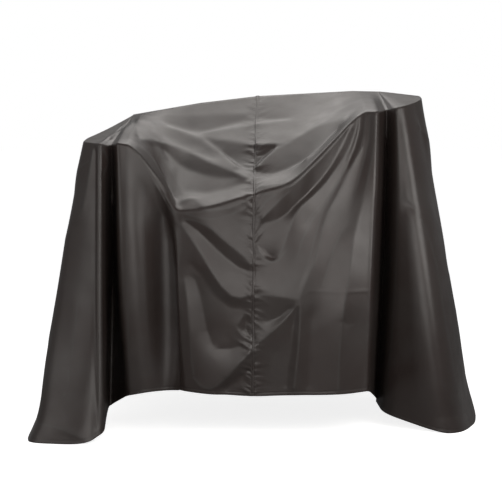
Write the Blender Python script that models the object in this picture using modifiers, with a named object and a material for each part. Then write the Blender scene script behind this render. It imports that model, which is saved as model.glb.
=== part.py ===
"""A loose nylon dust cover for a drum set, as it hangs: two panels joined by a seam down the middle.

Metres, +Z up. The floor is z = 0 and the middle of the cover is the origin; its front faces -Y.
The cloth is a loft: each fold runs down from the ridge of the roof, over an edge, to the hem.
"""

import math
from collections import namedtuple

import bmesh
import bpy
import numpy as np

CLOTH_THICKNESS = 0.002
PANEL_GAP = 0.0003
SHARP_ANGLE = math.radians(50)

# The folds are measured from the foot of the front panel, which stands this far from the cover's middle.
FRONT_PANEL_FOOT = (-0.0245, -0.5402)

# The seam lies in one slightly tilted plane: x = SEAM_X + SEAM_LEAN_Y * y + SEAM_LEAN_Z * z
SEAM_X = 0.0064
SEAM_LEAN_Y = 0.0223
SEAM_LEAN_Z = 0.0039

# The ridge of the roof, from its left end (0) to its right end (1).
Ridge = namedtuple("Ridge", "along x y z")
RIDGE = (
    Ridge(0.00, -0.463, 0.62, 1.163),
    Ridge(0.25, -0.202, 0.64, 1.208),
    Ridge(0.50, 0.026, 0.66, 1.235),
    Ridge(0.80, 0.400, 0.64, 1.255),
    Ridge(1.00, 0.500, 0.60, 1.253),
)

# One row for each fold, from the front seam round the left side, the back and the right side.
#   along   where it leaves the ridge
#   edge    where it turns down from the roof
#   knee    x and y part of the way down
#   hem     where it ends
#   lift    how far the roof stands above a straight line there
#   kick    how far the cloth is pushed out where it meets the floor
#   soft    0.1 for a sharp fold, 0.5 for a round one
#   steps   columns of faces to the next fold
Fold = namedtuple("Fold", "name along edge knee hem lift kick soft steps")
FOLDS = (
    Fold("front seam", 0.50, (0.011, 0.05, 0.883), (0.008, 0.00), (0.007, 0.00, 0.148), 0.00, 0, 0.45, 4),
    Fold("left drum edge", 0.36, (-0.166, 0.03, 0.823), (-0.159, -0.005), (-0.142, 0.005, 0.160), 0.0, 0, 0.45, 4),
    Fold("left front corner", 0.22, (-0.272, 0.05, 0.818), (-0.272, 0.020), (-0.270, 0.02, 0.167), 0.0, 0, 0.25, 2),
    Fold("small valley", 0.13, (-0.321, 0.10, 0.902), (-0.307, 0.075), (-0.304, 0.06, 0.159), 0.01, 0, 0.35, 3),
    Fold("left roll", 0.04, (-0.430, 0.07, 1.056), (-0.402, 0.030), (-0.384, 0.04, 0.156), 0.01, 0, 0.40, 3),
    Fold("roll side", 0.00, (-0.483, 0.07, 1.064), (-0.477, 0.050), (-0.453, 0.06, 0.142), 0.0, 0, 0.15, 3),
    Fold("left valley", 0.00, (-0.508, 0.13, 1.056), (-0.522, 0.320), (-0.535, 0.26, 0.070), 0.0, 0, 0.40, 3),
    Fold("nose flank", 0.00, (-0.527, 0.09, 1.055), (-0.533, 0.150), (-0.530, 0.12, 0.070), 0.0, 0, 0.35, 2),
    Fold("left nose", 0.00, (-0.546, 0.06, 1.064), (-0.547, 0.000), (-0.531, -0.095, 0.035), 0.0, 0.0, 0.20, 3),
    Fold("left cone front", 0.00, (-0.579, 0.10, 1.066), (-0.610, 0.020), (-0.590, -0.140, 0.0), 0.0, 0.0, 0.45, 3),
    Fold("left cone corner", 0.00, (-0.618, 0.15, 1.068), (-0.728, 0.120), (-0.795, -0.104, 0.0), 0.0, 0.02, 0.30, 3),
    Fold("left cone side", 0.00, (-0.612, 0.22, 1.078), (-0.715, 0.240), (-0.818, 0.030, 0.0), 0.0, 0.02, 0.40, 3),
    Fold("left side roll", 0.00, (-0.590, 0.30, 1.090), (-0.690, 0.330), (-0.745, 0.20, 0.10), 0.0, 0, 0.45, 3),
    Fold("left side valley", 0.00, (-0.560, 0.38, 1.105), (-0.590, 0.430), (-0.625, 0.38, 0.30), 0.0, 0, 0.45, 3),
    Fold("left side crest", 0.00, (-0.545, 0.48, 1.120), (-0.640, 0.550), (-0.700, 0.55, 0.42), 0.0, 0, 0.45, 3),
    Fold("left rear valley", 0.00, (-0.515, 0.60, 1.125), (-0.570, 0.670), (-0.595, 0.69, 0.42), 0.0, 0, 0.45, 3),
    Fold("left rear crest", 0.00, (-0.500, 0.70, 1.100), (-0.640, 0.800), (-0.700, 0.84, 0.33), 0.0, 0, 0.45, 3),
    Fold("left rear side", 0.00, (-0.480, 0.80, 1.060), (-0.620, 0.950), (-0.745, 1.02, 0.08), 0.0, 0, 0.45, 3),
    Fold("left rear corner", 0.00, (-0.450, 0.90, 1.010), (-0.600, 1.080), (-0.740, 1.17, 0.0), 0.0, 0.01, 0.40, 3),
    Fold("left rear nose", 0.00, (-0.410, 0.95, 0.980), (-0.530, 1.130), (-0.640, 1.235, 0.0), 0.0, 0.01, 0.30, 3),
    Fold("left back valley", 0.04, (-0.360, 0.93, 0.980), (-0.415, 0.980), (-0.465, 0.99, 0.09), 0.0, 0, 0.40, 3),
    Fold("left back roll", 0.13, (-0.285, 0.98, 0.965), (-0.310, 1.100), (-0.330, 1.12, 0.17), 0.01, 0, 0.45, 2),
    Fold("left back fold", 0.22, (-0.200, 0.985, 0.965), (-0.200, 1.045), (-0.205, 1.05, 0.20), 0.0, 0, 0.45, 4),
    Fold("left back panel", 0.36, (-0.090, 1.00, 0.975), (-0.080, 1.090), (-0.080, 1.11, 0.21), 0.0, 0, 0.45, 4),
    Fold("back seam", 0.50, (0.0325, 1.00, 0.985), (0.0331, 1.10), (0.0322, 1.12, 0.21), 0.0, 0, 0.45, 4),
    Fold("right back panel", 0.62, (0.160, 1.00, 1.000), (0.160, 1.080), (0.165, 1.10, 0.20), 0.0, 0, 0.45, 3),
    Fold("right back fold", 0.74, (0.270, 0.98, 1.010), (0.280, 1.035), (0.290, 1.04, 0.19), 0.0, 0, 0.45, 3),
    Fold("right back roll", 0.84, (0.360, 0.97, 1.030), (0.380, 1.080), (0.400, 1.10, 0.16), 0.0, 0, 0.45, 2),
    Fold("right back valley", 0.92, (0.440, 0.93, 1.060), (0.465, 0.965), (0.495, 0.975, 0.08), 0.0, 0, 0.40, 3),
    Fold("right rear nose", 1.00, (0.490, 0.92, 1.070), (0.580, 1.090), (0.680, 1.20, 0.0), 0.0, 0.01, 0.30, 3),
    Fold("right rear corner", 1.00, (0.535, 0.86, 1.090), (0.660, 1.020), (0.790, 1.12, 0.0), 0.0, 0.01, 0.40, 3),
    Fold("right rear side", 1.00, (0.575, 0.78, 1.120), (0.690, 0.880), (0.800, 0.95, 0.08), 0.0, 0, 0.45, 3),
    Fold("right rear valley", 1.00, (0.592, 0.70, 1.180), (0.645, 0.765), (0.680, 0.79, 0.32), 0.0, 0, 0.45, 3),
    Fold("right side crest", 1.00, (0.620, 0.62, 1.215), (0.720, 0.640), (0.775, 0.66, 0.44), 0.0, 0, 0.45, 3),
    Fold("right side valley", 1.00, (0.636, 0.56, 1.232), (0.675, 0.540), (0.700, 0.53, 0.42), 0.0, 0, 0.45, 3),
    Fold("right cone side", 1.00, (0.650, 0.49, 1.236), (0.755, 0.440), (0.845, 0.42, 0.10), 0.0, 0, 0.45, 3),
    Fold("right cone corner", 1.00, (0.655, 0.42, 1.225), (0.746, 0.290), (0.866, 0.3, 0.0), 0.0, 0.02, 0.35, 3),
    Fold("right cone front", 1.00, (0.612, 0.34, 1.208), (0.700, 0.170), (0.790, 0.085, 0.0), 0.0, 0.01, 0.45, 3),
    Fold("right nose", 1.00, (0.575, 0.29, 1.198), (0.634, 0.115), (0.700, 0.05, 0.0), 0.0, 0, 0.45, 3),
    Fold("right cone flank", 1.00, (0.542, 0.28, 1.190), (0.542, 0.200), (0.503, 0.2, 0.05), 0.0, 0, 0.25, 2),
    Fold("right valley", 1.00, (0.510, 0.36, 1.180), (0.503, 0.400), (0.478, 0.38, 0.075), 0.0, 0, 0.35, 3),
    Fold("right edge", 0.92, (0.470, 0.22, 1.177), (0.453, 0.040), (0.435, 0.00, 0.170), 0.0, 0, 0.20, 2),
    Fold("diagonal top", 0.84, (0.413, 0.25, 1.177), (0.367, 0.030), (0.349, 0.00, 0.159), 0.0, 0, 0.35, 3),
    Fold("diagonal middle", 0.74, (0.272, 0.15, 1.035), (0.268, 0.015), (0.251, 0.00, 0.155), 0.0, 0, 0.45, 3),
    Fold("right drum edge", 0.62, (0.145, 0.05, 0.910), (0.148, 0.000), (0.156, 0.00, 0.155), 0.0, 0, 0.45, 4),
)

# Rails run round the cover: the ridge, the brow halfway down the roof, the edge, the knee, the toe and the hem.
BROW_AT = 0.5
KNEE_HEIGHT = 0.45
TOE_AT = 0.84
RAIL_SOFT = (0.5, 0.5, 0.08, 0.5, 0.3, 0.5)
RAIL_STEPS = (5, 6, 7, 6, 3)
MIDDLE = (0.0, 0.55)

# The main creases of the front, as ridges (height above 0) and troughs (below 0) across the folds.
#   width   from the middle of the crease to its side
#   path    x and z along it, seen from the front
#   start, finish   share of the height at each end
Crease = namedtuple("Crease", "name height width start finish path")
CREASES = (
    Crease("left roof ridge", 0.022, 0.045, 0.3, 0.3, ((-0.40, 1.06), (-0.27, 1.03), (-0.15, 0.99), (-0.05, 0.95))),
    Crease("left roof trough", -0.022, 0.035, 0.0, 0.5, ((-0.30, 1.00), (-0.20, 0.95), (-0.07, 0.925))),
    Crease("wedge trough", -0.022, 0.045, 0.0, 1.0, ((-0.22, 1.08), (-0.10, 1.045), (0.01, 1.03))),
    Crease("right roof ridge", 0.024, 0.045, 0.6, 0.3, ((0.02, 0.96), (0.14, 1.04), (0.25, 1.10), (0.39, 1.16))),
    Crease("right roof trough", -0.020, 0.035, 0.5, 0.0, ((0.04, 0.92), (0.16, 0.99), (0.30, 1.07), (0.37, 1.13))),
    Crease("drum corner trough", -0.020, 0.040, 0.3, 0.8, ((-0.25, 0.79), (-0.13, 0.73), (-0.01, 0.64))),
    Crease("drum corner ridge", 0.014, 0.040, 0.5, 0.6, ((-0.26, 0.77), (-0.13, 0.65), (-0.01, 0.55))),
    Crease("left front trough", -0.016, 0.045, 0.0, 0.0, ((-0.23, 0.62), (-0.19, 0.46), (-0.14, 0.33))),
    Crease("right front ridge", 0.014, 0.035, 0.2, 0.6, ((0.37, 0.97), (0.23, 0.62), (0.17, 0.49), (0.155, 0.16))),
    Crease("right edge ridge", 0.012, 0.030, 0.0, 0.6, ((0.38, 0.73), (0.33, 0.45), (0.325, 0.16))),
)
FRONT_DEPTH = 0.60


def soft_weights(places, soft, closed):
    """How far each control point pulls each place on a line whose corners are rounded off.

    A place is a corner's number plus a fraction; soft is the share of each side that its corner takes.
    """
    count = len(soft)
    weights = np.zeros((len(places), count))
    for row, place in enumerate(places):
        corner = int(round(place))
        reach = soft[corner % count]
        off = place - corner
        if abs(off) < reach and (closed or 0 < corner < count - 1):
            turn = (off + reach) / (2 * reach)
            weights[row, (corner - 1) % count] += reach * (1 - turn) ** 2
            weights[row, (corner + 1) % count] += reach * turn**2
            weights[row, corner % count] += 1 - reach * ((1 - turn) ** 2 + turn**2)
        else:
            before = int(np.floor(place))
            share = place - before
            weights[row, before % count] += 1 - share
            if share > 0:
                weights[row, (before + 1) % count] += share
    return weights


def ridge_points(along):
    """Points on the roof's ridge."""
    known = [r.along for r in RIDGE]
    return np.stack([np.interp(along, known, [getattr(r, axis) for r in RIDGE]) for axis in "xyz"], axis=-1)


def rails():
    """The folds' control points, as an array: fold, rail, x y z."""
    along = np.array([fold.along for fold in FOLDS])
    edge = np.array([fold.edge for fold in FOLDS])
    hem = np.array([fold.hem for fold in FOLDS])
    knee_xy = np.array([fold.knee for fold in FOLDS])
    lift = np.array([fold.lift for fold in FOLDS])
    kick = np.array([fold.kick for fold in FOLDS])
    top = ridge_points(along)
    brow = top + BROW_AT * (edge - top)
    brow[:, 2] += lift
    knee_z = hem[:, 2] + KNEE_HEIGHT * (edge[:, 2] - hem[:, 2])
    knee = np.column_stack((knee_xy, knee_z))
    outward = knee_xy - np.array(MIDDLE)
    outward /= np.linalg.norm(outward, axis=1)[:, None]
    toe = knee + TOE_AT * (hem - knee)
    toe[:, :2] -= outward * kick[:, None]
    return np.stack((top, brow, edge, knee, toe, hem), axis=1)


def places(steps):
    """Even places along a run of spans with these numbers of steps."""
    run = [span + step / count for span, count in enumerate(steps) for step in range(count)]
    return np.array(run)


def nearest_on_path(x, z, path):
    """How far each point is from a path in the front view, and the share of the path passed there."""
    path = np.array(path)
    lengths = np.linalg.norm(np.diff(path, axis=0), axis=1)
    passed = np.concatenate(([0.0], np.cumsum(lengths))) / lengths.sum()
    best = np.full(x.shape, np.inf)
    share = np.zeros(x.shape)
    for start, finish, done, more in zip(path, path[1:], passed, passed[1:]):
        run = finish - start
        along = ((x - start[0]) * run[0] + (z - start[1]) * run[1]) / run.dot(run)
        along = np.clip(along, 0.0, 1.0)
        far = np.hypot(x - start[0] - along * run[0], z - start[1] - along * run[1])
        nearer = far < best
        best[nearer] = far[nearer]
        share[nearer] = (done + along * (more - done))[nearer]
    return best, share


def crease_height(grid):
    """How far the creases raise each point of the grid."""
    x, y, z = grid[..., 0], grid[..., 1], grid[..., 2]
    front = np.clip((FRONT_DEPTH - y) / 0.08, 0.0, 1.0)
    raised = np.zeros(x.shape)
    for crease in CREASES:
        far, share = nearest_on_path(x, z, crease.path)
        ends = np.interp(share, (0.0, 0.35, 0.65, 1.0), (crease.start, 1.0, 1.0, crease.finish))
        raised += crease.height * ends * np.exp(-((far / crease.width) ** 2))
    return raised * front


def outward_normals(grid):
    """Unit normals of the grid, facing out of the cover."""
    round_it = np.roll(grid, -1, axis=0) - np.roll(grid, 1, axis=0)
    down_it = np.gradient(grid, axis=1)
    normals = np.cross(down_it, round_it)
    normals /= np.maximum(np.linalg.norm(normals, axis=2), 1e-9)[..., None]
    return normals


def cover_points():
    """The cloth's outer face as a grid: column round the cover, row down it, x y z."""
    columns = places([fold.steps for fold in FOLDS])
    rows = np.append(places(RAIL_STEPS), float(len(RAIL_STEPS)))
    round_it = soft_weights(columns, [fold.soft for fold in FOLDS], closed=True)
    down_it = soft_weights(rows, RAIL_SOFT, closed=False)
    grid = np.einsum("cf,rk,fkx->crx", round_it, down_it, rails())
    along = [fold.along for fold in FOLDS] + [FOLDS[0].along]
    grid[:, 0] = ridge_points(np.interp(columns, range(len(along)), along))
    grid[:, 1:] += outward_normals(grid)[:, 1:] * crease_height(grid)[:, 1:, None]
    grid[:, :, 0] += FRONT_PANEL_FOOT[0]
    grid[:, :, 1] += FRONT_PANEL_FOOT[1]
    return grid


def grid_mesh(name, grid):
    """An open mesh of quads on the grid, closed round the cover and along the ridge."""
    mesh = bpy.data.meshes.new(name)
    bm = bmesh.new()
    verts = [[bm.verts.new(point) for point in column] for column in grid.tolist()]
    for here, after in zip(verts, verts[1:] + verts[:1]):
        for row in range(len(here) - 1):
            bm.faces.new((here[row], here[row + 1], after[row + 1], after[row]))
    bmesh.ops.remove_doubles(bm, verts=bm.verts, dist=1e-5)
    bmesh.ops.recalc_face_normals(bm, faces=bm.faces)
    bm.to_mesh(mesh)
    bm.free()
    return mesh


def nylon():
    """Dark charcoal nylon with a soft gloss."""
    material = bpy.data.materials.new("nylon")
    material.use_nodes = True
    shader = material.node_tree.nodes["Principled BSDF"]
    shader.inputs["Base Color"].default_value = (0.045, 0.040, 0.037, 1.0)
    shader.inputs["Roughness"].default_value = 0.5
    shader.inputs["Metallic"].default_value = 0.0
    return material


def panel(name, cloth, side, collection):
    """One panel: the thick cloth cut off at the seam, on the side given (-1 left, +1 right)."""
    mesh = cloth.copy()
    mesh.name = name
    bm = bmesh.new()
    bm.from_mesh(mesh)
    foot_x, foot_y = FRONT_PANEL_FOOT
    seam_normal = np.array([1.0, -SEAM_LEAN_Y, -SEAM_LEAN_Z])
    point = np.array([foot_x + SEAM_X + side * PANEL_GAP / 2, foot_y, 0.0])
    for vert in bm.verts:
        vert.co.z = max(vert.co.z, 0.0)
    bmesh.ops.bisect_plane(
        bm,
        geom=bm.verts[:] + bm.edges[:] + bm.faces[:],
        dist=1e-6,
        plane_co=point,
        plane_no=seam_normal,
        clear_inner=side > 0,
        clear_outer=side < 0,
    )
    rim = [edge for edge in bm.edges if edge.is_boundary]
    bmesh.ops.holes_fill(bm, edges=rim, sides=0)
    bmesh.ops.recalc_face_normals(bm, faces=bm.faces)
    bm.to_mesh(mesh)
    bm.free()
    made = bpy.data.objects.new(name, mesh)
    collection.objects.link(made)
    mesh.materials.append(nylon())
    mesh.shade_smooth()
    mesh.set_sharp_from_angle(angle=SHARP_ANGLE)
    return made


def main():
    for old in list(bpy.data.objects):
        bpy.data.objects.remove(old)
    collection = bpy.data.collections.new("drum set cover")
    bpy.context.scene.collection.children.link(collection)

    sheet = bpy.data.objects.new("sheet", grid_mesh("sheet", cover_points()))
    collection.objects.link(sheet)
    thicken = sheet.modifiers.new("cloth", "SOLIDIFY")
    thicken.thickness = CLOTH_THICKNESS
    thicken.offset = -1.0
    graph = bpy.context.evaluated_depsgraph_get()
    cloth = bpy.data.meshes.new_from_object(sheet.evaluated_get(graph))
    bpy.data.objects.remove(sheet)

    panel("panel_left", cloth, -1, collection)
    panel("panel_right", cloth, 1, collection)
    bpy.data.meshes.remove(cloth)


main()
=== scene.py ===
"""Drum set cover: two panels of dark nylon, sewn down the middle and draped to the floor.

Metres, +Z up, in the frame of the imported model. Run as a script, it builds the cloth, its seam, its hem and
the stage. The folds are measured from the foot of the front panel, like those of the solids, and the finished
cloth is shifted into the frame.
"""

import functools
import math
from collections import namedtuple

import bmesh
import bpy
import numpy as np
from bpy.props import FloatProperty, FloatVectorProperty, PointerProperty
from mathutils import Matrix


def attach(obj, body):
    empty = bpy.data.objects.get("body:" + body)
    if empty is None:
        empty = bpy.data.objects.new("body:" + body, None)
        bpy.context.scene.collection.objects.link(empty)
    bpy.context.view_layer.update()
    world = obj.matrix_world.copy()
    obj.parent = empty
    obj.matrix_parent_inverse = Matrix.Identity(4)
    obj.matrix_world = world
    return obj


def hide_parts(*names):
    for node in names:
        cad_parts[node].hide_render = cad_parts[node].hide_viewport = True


bl_info = {
    "name": "Drum set cover",
    "version": (1, 0, 0),
    "blender": (4, 5, 0),
    "location": "View3D > Sidebar > Drum Cover",
    "description": "Builds a draped nylon cover with its seam, hem and stage",
    "category": "Add Mesh",
}

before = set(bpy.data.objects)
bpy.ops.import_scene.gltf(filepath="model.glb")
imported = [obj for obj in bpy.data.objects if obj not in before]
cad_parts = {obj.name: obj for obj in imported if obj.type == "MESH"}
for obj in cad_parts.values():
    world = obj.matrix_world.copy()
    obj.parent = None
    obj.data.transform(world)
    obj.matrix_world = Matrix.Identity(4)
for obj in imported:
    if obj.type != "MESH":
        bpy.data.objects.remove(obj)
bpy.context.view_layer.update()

# The foot of the front panel in the frame, and the seam's plane: where it crosses x, and how far it leans.
FOOT = (-0.0245, -0.5402)
SEAM_X = 0.0064
SEAM_LEAN_Y = 0.0223
SEAM_LEAN_Z = 0.0039

# The ridge of the roof, from its left end (0) to its right end (1).
Ridge = namedtuple("Ridge", "along x y z")
RIDGE = (
    Ridge(0.00, -0.463, 0.62, 1.163),
    Ridge(0.25, -0.202, 0.64, 1.208),
    Ridge(0.50, 0.026, 0.66, 1.235),
    Ridge(0.80, 0.400, 0.64, 1.255),
    Ridge(1.00, 0.500, 0.60, 1.253),
)

# One row for each fold, from the front seam round the left side, the back and the right side.
#   along   where it leaves the ridge
#   edge    where it turns down from the roof
#   knee    x and y part of the way down
#   hem     where it ends
#   lift    how far the roof stands above a straight line there
#   kick    how far the cloth is drawn in above its hem, so that it turns out where it meets the floor
#   soft    0.1 for a sharp fold, 0.5 for a round one
#   steps   columns of faces to the next fold
Fold = namedtuple("Fold", "name along edge knee hem lift kick soft steps")
FOLDS = (
    Fold("front seam", 0.5, (0.011, 0.05, 0.883), (0.008, 0.0), (0.007, 0.0, 0.148), 0.0, 0.0, 0.45, 30),
    Fold("left drum edge", 0.36, (-0.166, 0.03, 0.823), (-0.159, -0.005), (-0.142, 0.005, 0.16),
         0.0, 0.0, 0.45, 22),
    Fold("left front corner", 0.22, (-0.272, 0.05, 0.818), (-0.272, 0.02), (-0.27, 0.02, 0.167),
         0.0, 0.0, 0.25, 12),
    Fold("small valley", 0.13, (-0.321, 0.1, 0.902), (-0.307, 0.075), (-0.304, 0.06, 0.159),
         0.01, 0.0, 0.35, 16),
    Fold("left roll", 0.04, (-0.43, 0.07, 1.056), (-0.402, 0.03), (-0.384, 0.04, 0.156), 0.01, 0.0, 0.4, 14),
    Fold("roll side", 0.0, (-0.483, 0.07, 1.064), (-0.477, 0.05), (-0.453, 0.06, 0.142), 0.0, 0.0, 0.15, 30),
    Fold("left valley", 0.0, (-0.508, 0.13, 1.056), (-0.522, 0.32), (-0.535, 0.26, 0.07), 0.0, 0.0, 0.4, 20),
    Fold("nose flank", 0.0, (-0.527, 0.09, 1.055), (-0.533, 0.15), (-0.53, 0.12, 0.07), 0.0, 0.0, 0.35, 16),
    Fold("left nose", 0.0, (-0.546, 0.06, 1.064), (-0.547, 0.0), (-0.531, -0.095, 0.035), 0.0, 0.0, 0.2, 13),
    Fold("left cone front", 0.0, (-0.579, 0.1, 1.066), (-0.61, 0.02), (-0.59, -0.14, 0.0),
         0.0, 0.0, 0.45, 13),
    Fold("left cone corner", 0.0, (-0.618, 0.15, 1.068), (-0.728, 0.12), (-0.795, -0.104, 0.0),
         0.0, 0.02, 0.3, 10),
    Fold("left cone side", 0.0, (-0.612, 0.22, 1.078), (-0.715, 0.24), (-0.818, 0.03, 0.0),
         0.0, 0.02, 0.4, 8),
    Fold("left side roll", 0.0, (-0.59, 0.3, 1.09), (-0.69, 0.33), (-0.745, 0.2, 0.1), 0.0, 0.0, 0.45, 10),
    Fold("left side valley", 0.0, (-0.56, 0.38, 1.105), (-0.59, 0.43), (-0.625, 0.38, 0.3),
         0.0, 0.0, 0.45, 9),
    Fold("left side crest", 0.0, (-0.545, 0.48, 1.12), (-0.64, 0.55), (-0.7, 0.55, 0.42), 0.0, 0.0, 0.45, 9),
    Fold("left rear valley", 0.0, (-0.515, 0.6, 1.125), (-0.57, 0.67), (-0.595, 0.69, 0.42),
         0.0, 0.0, 0.45, 9),
    Fold("left rear crest", 0.0, (-0.5, 0.7, 1.1), (-0.64, 0.8), (-0.7, 0.84, 0.33), 0.0, 0.0, 0.45, 9),
    Fold("left rear side", 0.0, (-0.48, 0.8, 1.06), (-0.62, 0.95), (-0.745, 1.02, 0.08), 0.0, 0.0, 0.45, 8),
    Fold("left rear corner", 0.0, (-0.45, 0.9, 1.01), (-0.6, 1.08), (-0.74, 1.17, 0.0), 0.0, 0.01, 0.4, 8),
    Fold("left rear nose", 0.0, (-0.41, 0.95, 0.98), (-0.53, 1.13), (-0.64, 1.235, 0.0), 0.0, 0.01, 0.3, 14),
    Fold("left back valley", 0.04, (-0.36, 0.93, 0.98), (-0.415, 0.98), (-0.465, 0.99, 0.09),
         0.0, 0.0, 0.4, 16),
    Fold("left back roll", 0.13, (-0.285, 0.98, 0.965), (-0.31, 1.1), (-0.33, 1.12, 0.17),
         0.01, 0.0, 0.45, 12),
    Fold("left back fold", 0.22, (-0.2, 0.985, 0.965), (-0.2, 1.045), (-0.205, 1.05, 0.2),
         0.0, 0.0, 0.45, 22),
    Fold("left back panel", 0.36, (-0.09, 1.0, 0.975), (-0.08, 1.09), (-0.08, 1.11, 0.21),
         0.0, 0.0, 0.45, 30),
    Fold("back seam", 0.5, (0.0325, 1.0, 0.985), (0.0331, 1.1), (0.0322, 1.12, 0.21), 0.0, 0.0, 0.45, 27),
    Fold("right back panel", 0.62, (0.16, 1.0, 1.0), (0.16, 1.08), (0.165, 1.1, 0.2), 0.0, 0.0, 0.45, 22),
    Fold("right back fold", 0.74, (0.27, 0.98, 1.01), (0.28, 1.035), (0.29, 1.04, 0.19), 0.0, 0.0, 0.45, 19),
    Fold("right back roll", 0.84, (0.36, 0.97, 1.03), (0.38, 1.08), (0.4, 1.1, 0.16), 0.0, 0.0, 0.45, 14),
    Fold("right back valley", 0.92, (0.44, 0.93, 1.06), (0.465, 0.965), (0.495, 0.975, 0.08),
         0.0, 0.0, 0.4, 26),
    Fold("right rear nose", 1.0, (0.49, 0.92, 1.07), (0.58, 1.09), (0.68, 1.2, 0.0), 0.0, 0.01, 0.3, 8),
    Fold("right rear corner", 1.0, (0.535, 0.86, 1.09), (0.66, 1.02), (0.79, 1.12, 0.0), 0.0, 0.01, 0.4, 10),
    Fold("right rear side", 1.0, (0.575, 0.78, 1.12), (0.69, 0.88), (0.8, 0.95, 0.08), 0.0, 0.0, 0.45, 9),
    Fold("right rear valley", 1.0, (0.592, 0.7, 1.18), (0.645, 0.765), (0.68, 0.79, 0.32),
         0.0, 0.0, 0.45, 10),
    Fold("right side crest", 1.0, (0.62, 0.62, 1.215), (0.72, 0.64), (0.775, 0.66, 0.44), 0.0, 0.0, 0.45, 9),
    Fold("right side valley", 1.0, (0.636, 0.56, 1.232), (0.675, 0.54), (0.7, 0.53, 0.42),
         0.0, 0.0, 0.45, 10),
    Fold("right cone side", 1.0, (0.65, 0.49, 1.236), (0.755, 0.44), (0.845, 0.42, 0.1), 0.0, 0.0, 0.45, 12),
    Fold("right cone corner", 1.0, (0.655, 0.42, 1.225), (0.746, 0.29), (0.866, 0.3, 0.0),
         0.0, 0.02, 0.35, 18),
    Fold("right cone front", 1.0, (0.612, 0.34, 1.208), (0.7, 0.17), (0.79, 0.085, 0.0), 0.0, 0.01, 0.45, 14),
    Fold("right nose", 1.0, (0.575, 0.29, 1.198), (0.634, 0.115), (0.7, 0.05, 0.0), 0.0, 0.0, 0.45, 18),
    Fold("right cone flank", 1.0, (0.542, 0.28, 1.19), (0.542, 0.2), (0.503, 0.2, 0.05), 0.0, 0.0, 0.25, 14),
    Fold("right valley", 1.0, (0.51, 0.36, 1.18), (0.503, 0.4), (0.478, 0.38, 0.075), 0.0, 0.0, 0.35, 26),
    Fold("right edge", 0.92, (0.47, 0.22, 1.177), (0.453, 0.04), (0.435, 0.0, 0.17), 0.0, 0.0, 0.2, 14),
    Fold("diagonal top", 0.84, (0.413, 0.25, 1.177), (0.367, 0.03), (0.349, 0.0, 0.159), 0.0, 0.0, 0.35, 19),
    Fold("diagonal middle", 0.74, (0.272, 0.15, 1.035), (0.268, 0.015), (0.251, 0.0, 0.155),
         0.0, 0.0, 0.45, 22),
    Fold("right drum edge", 0.62, (0.145, 0.05, 0.91), (0.148, 0.0), (0.156, 0.0, 0.155), 0.0, 0.0, 0.45, 27),
)
BACK_SEAM_FOLD = 24

# Rails run round the cover: ridge, brow halfway down the roof, edge, knee, toe and hem.
#   soft    how round the cloth turns over each rail
#   steps   rows of faces from each rail to the next
BROW_AT = 0.5
KNEE_HEIGHT = 0.45
TOE_AT = 0.84
RAIL_SOFT = (0.5, 0.5, 0.012, 0.5, 0.3, 0.5)
RAIL_STEPS = (30, 56, 88, 70, 22)
MIDDLE = (0.0, 0.55)
MERGE_WITHIN = 1e-5

# Where the photo was taken from, measured from the foot of the front panel, and its width in pixels.
EYE = (0.0, -6.0, 1.25)
EYE_TILT = math.radians(5.42)
LENS = 120.0
SENSOR = 36.0
PHOTO_SIZE = 502

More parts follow.
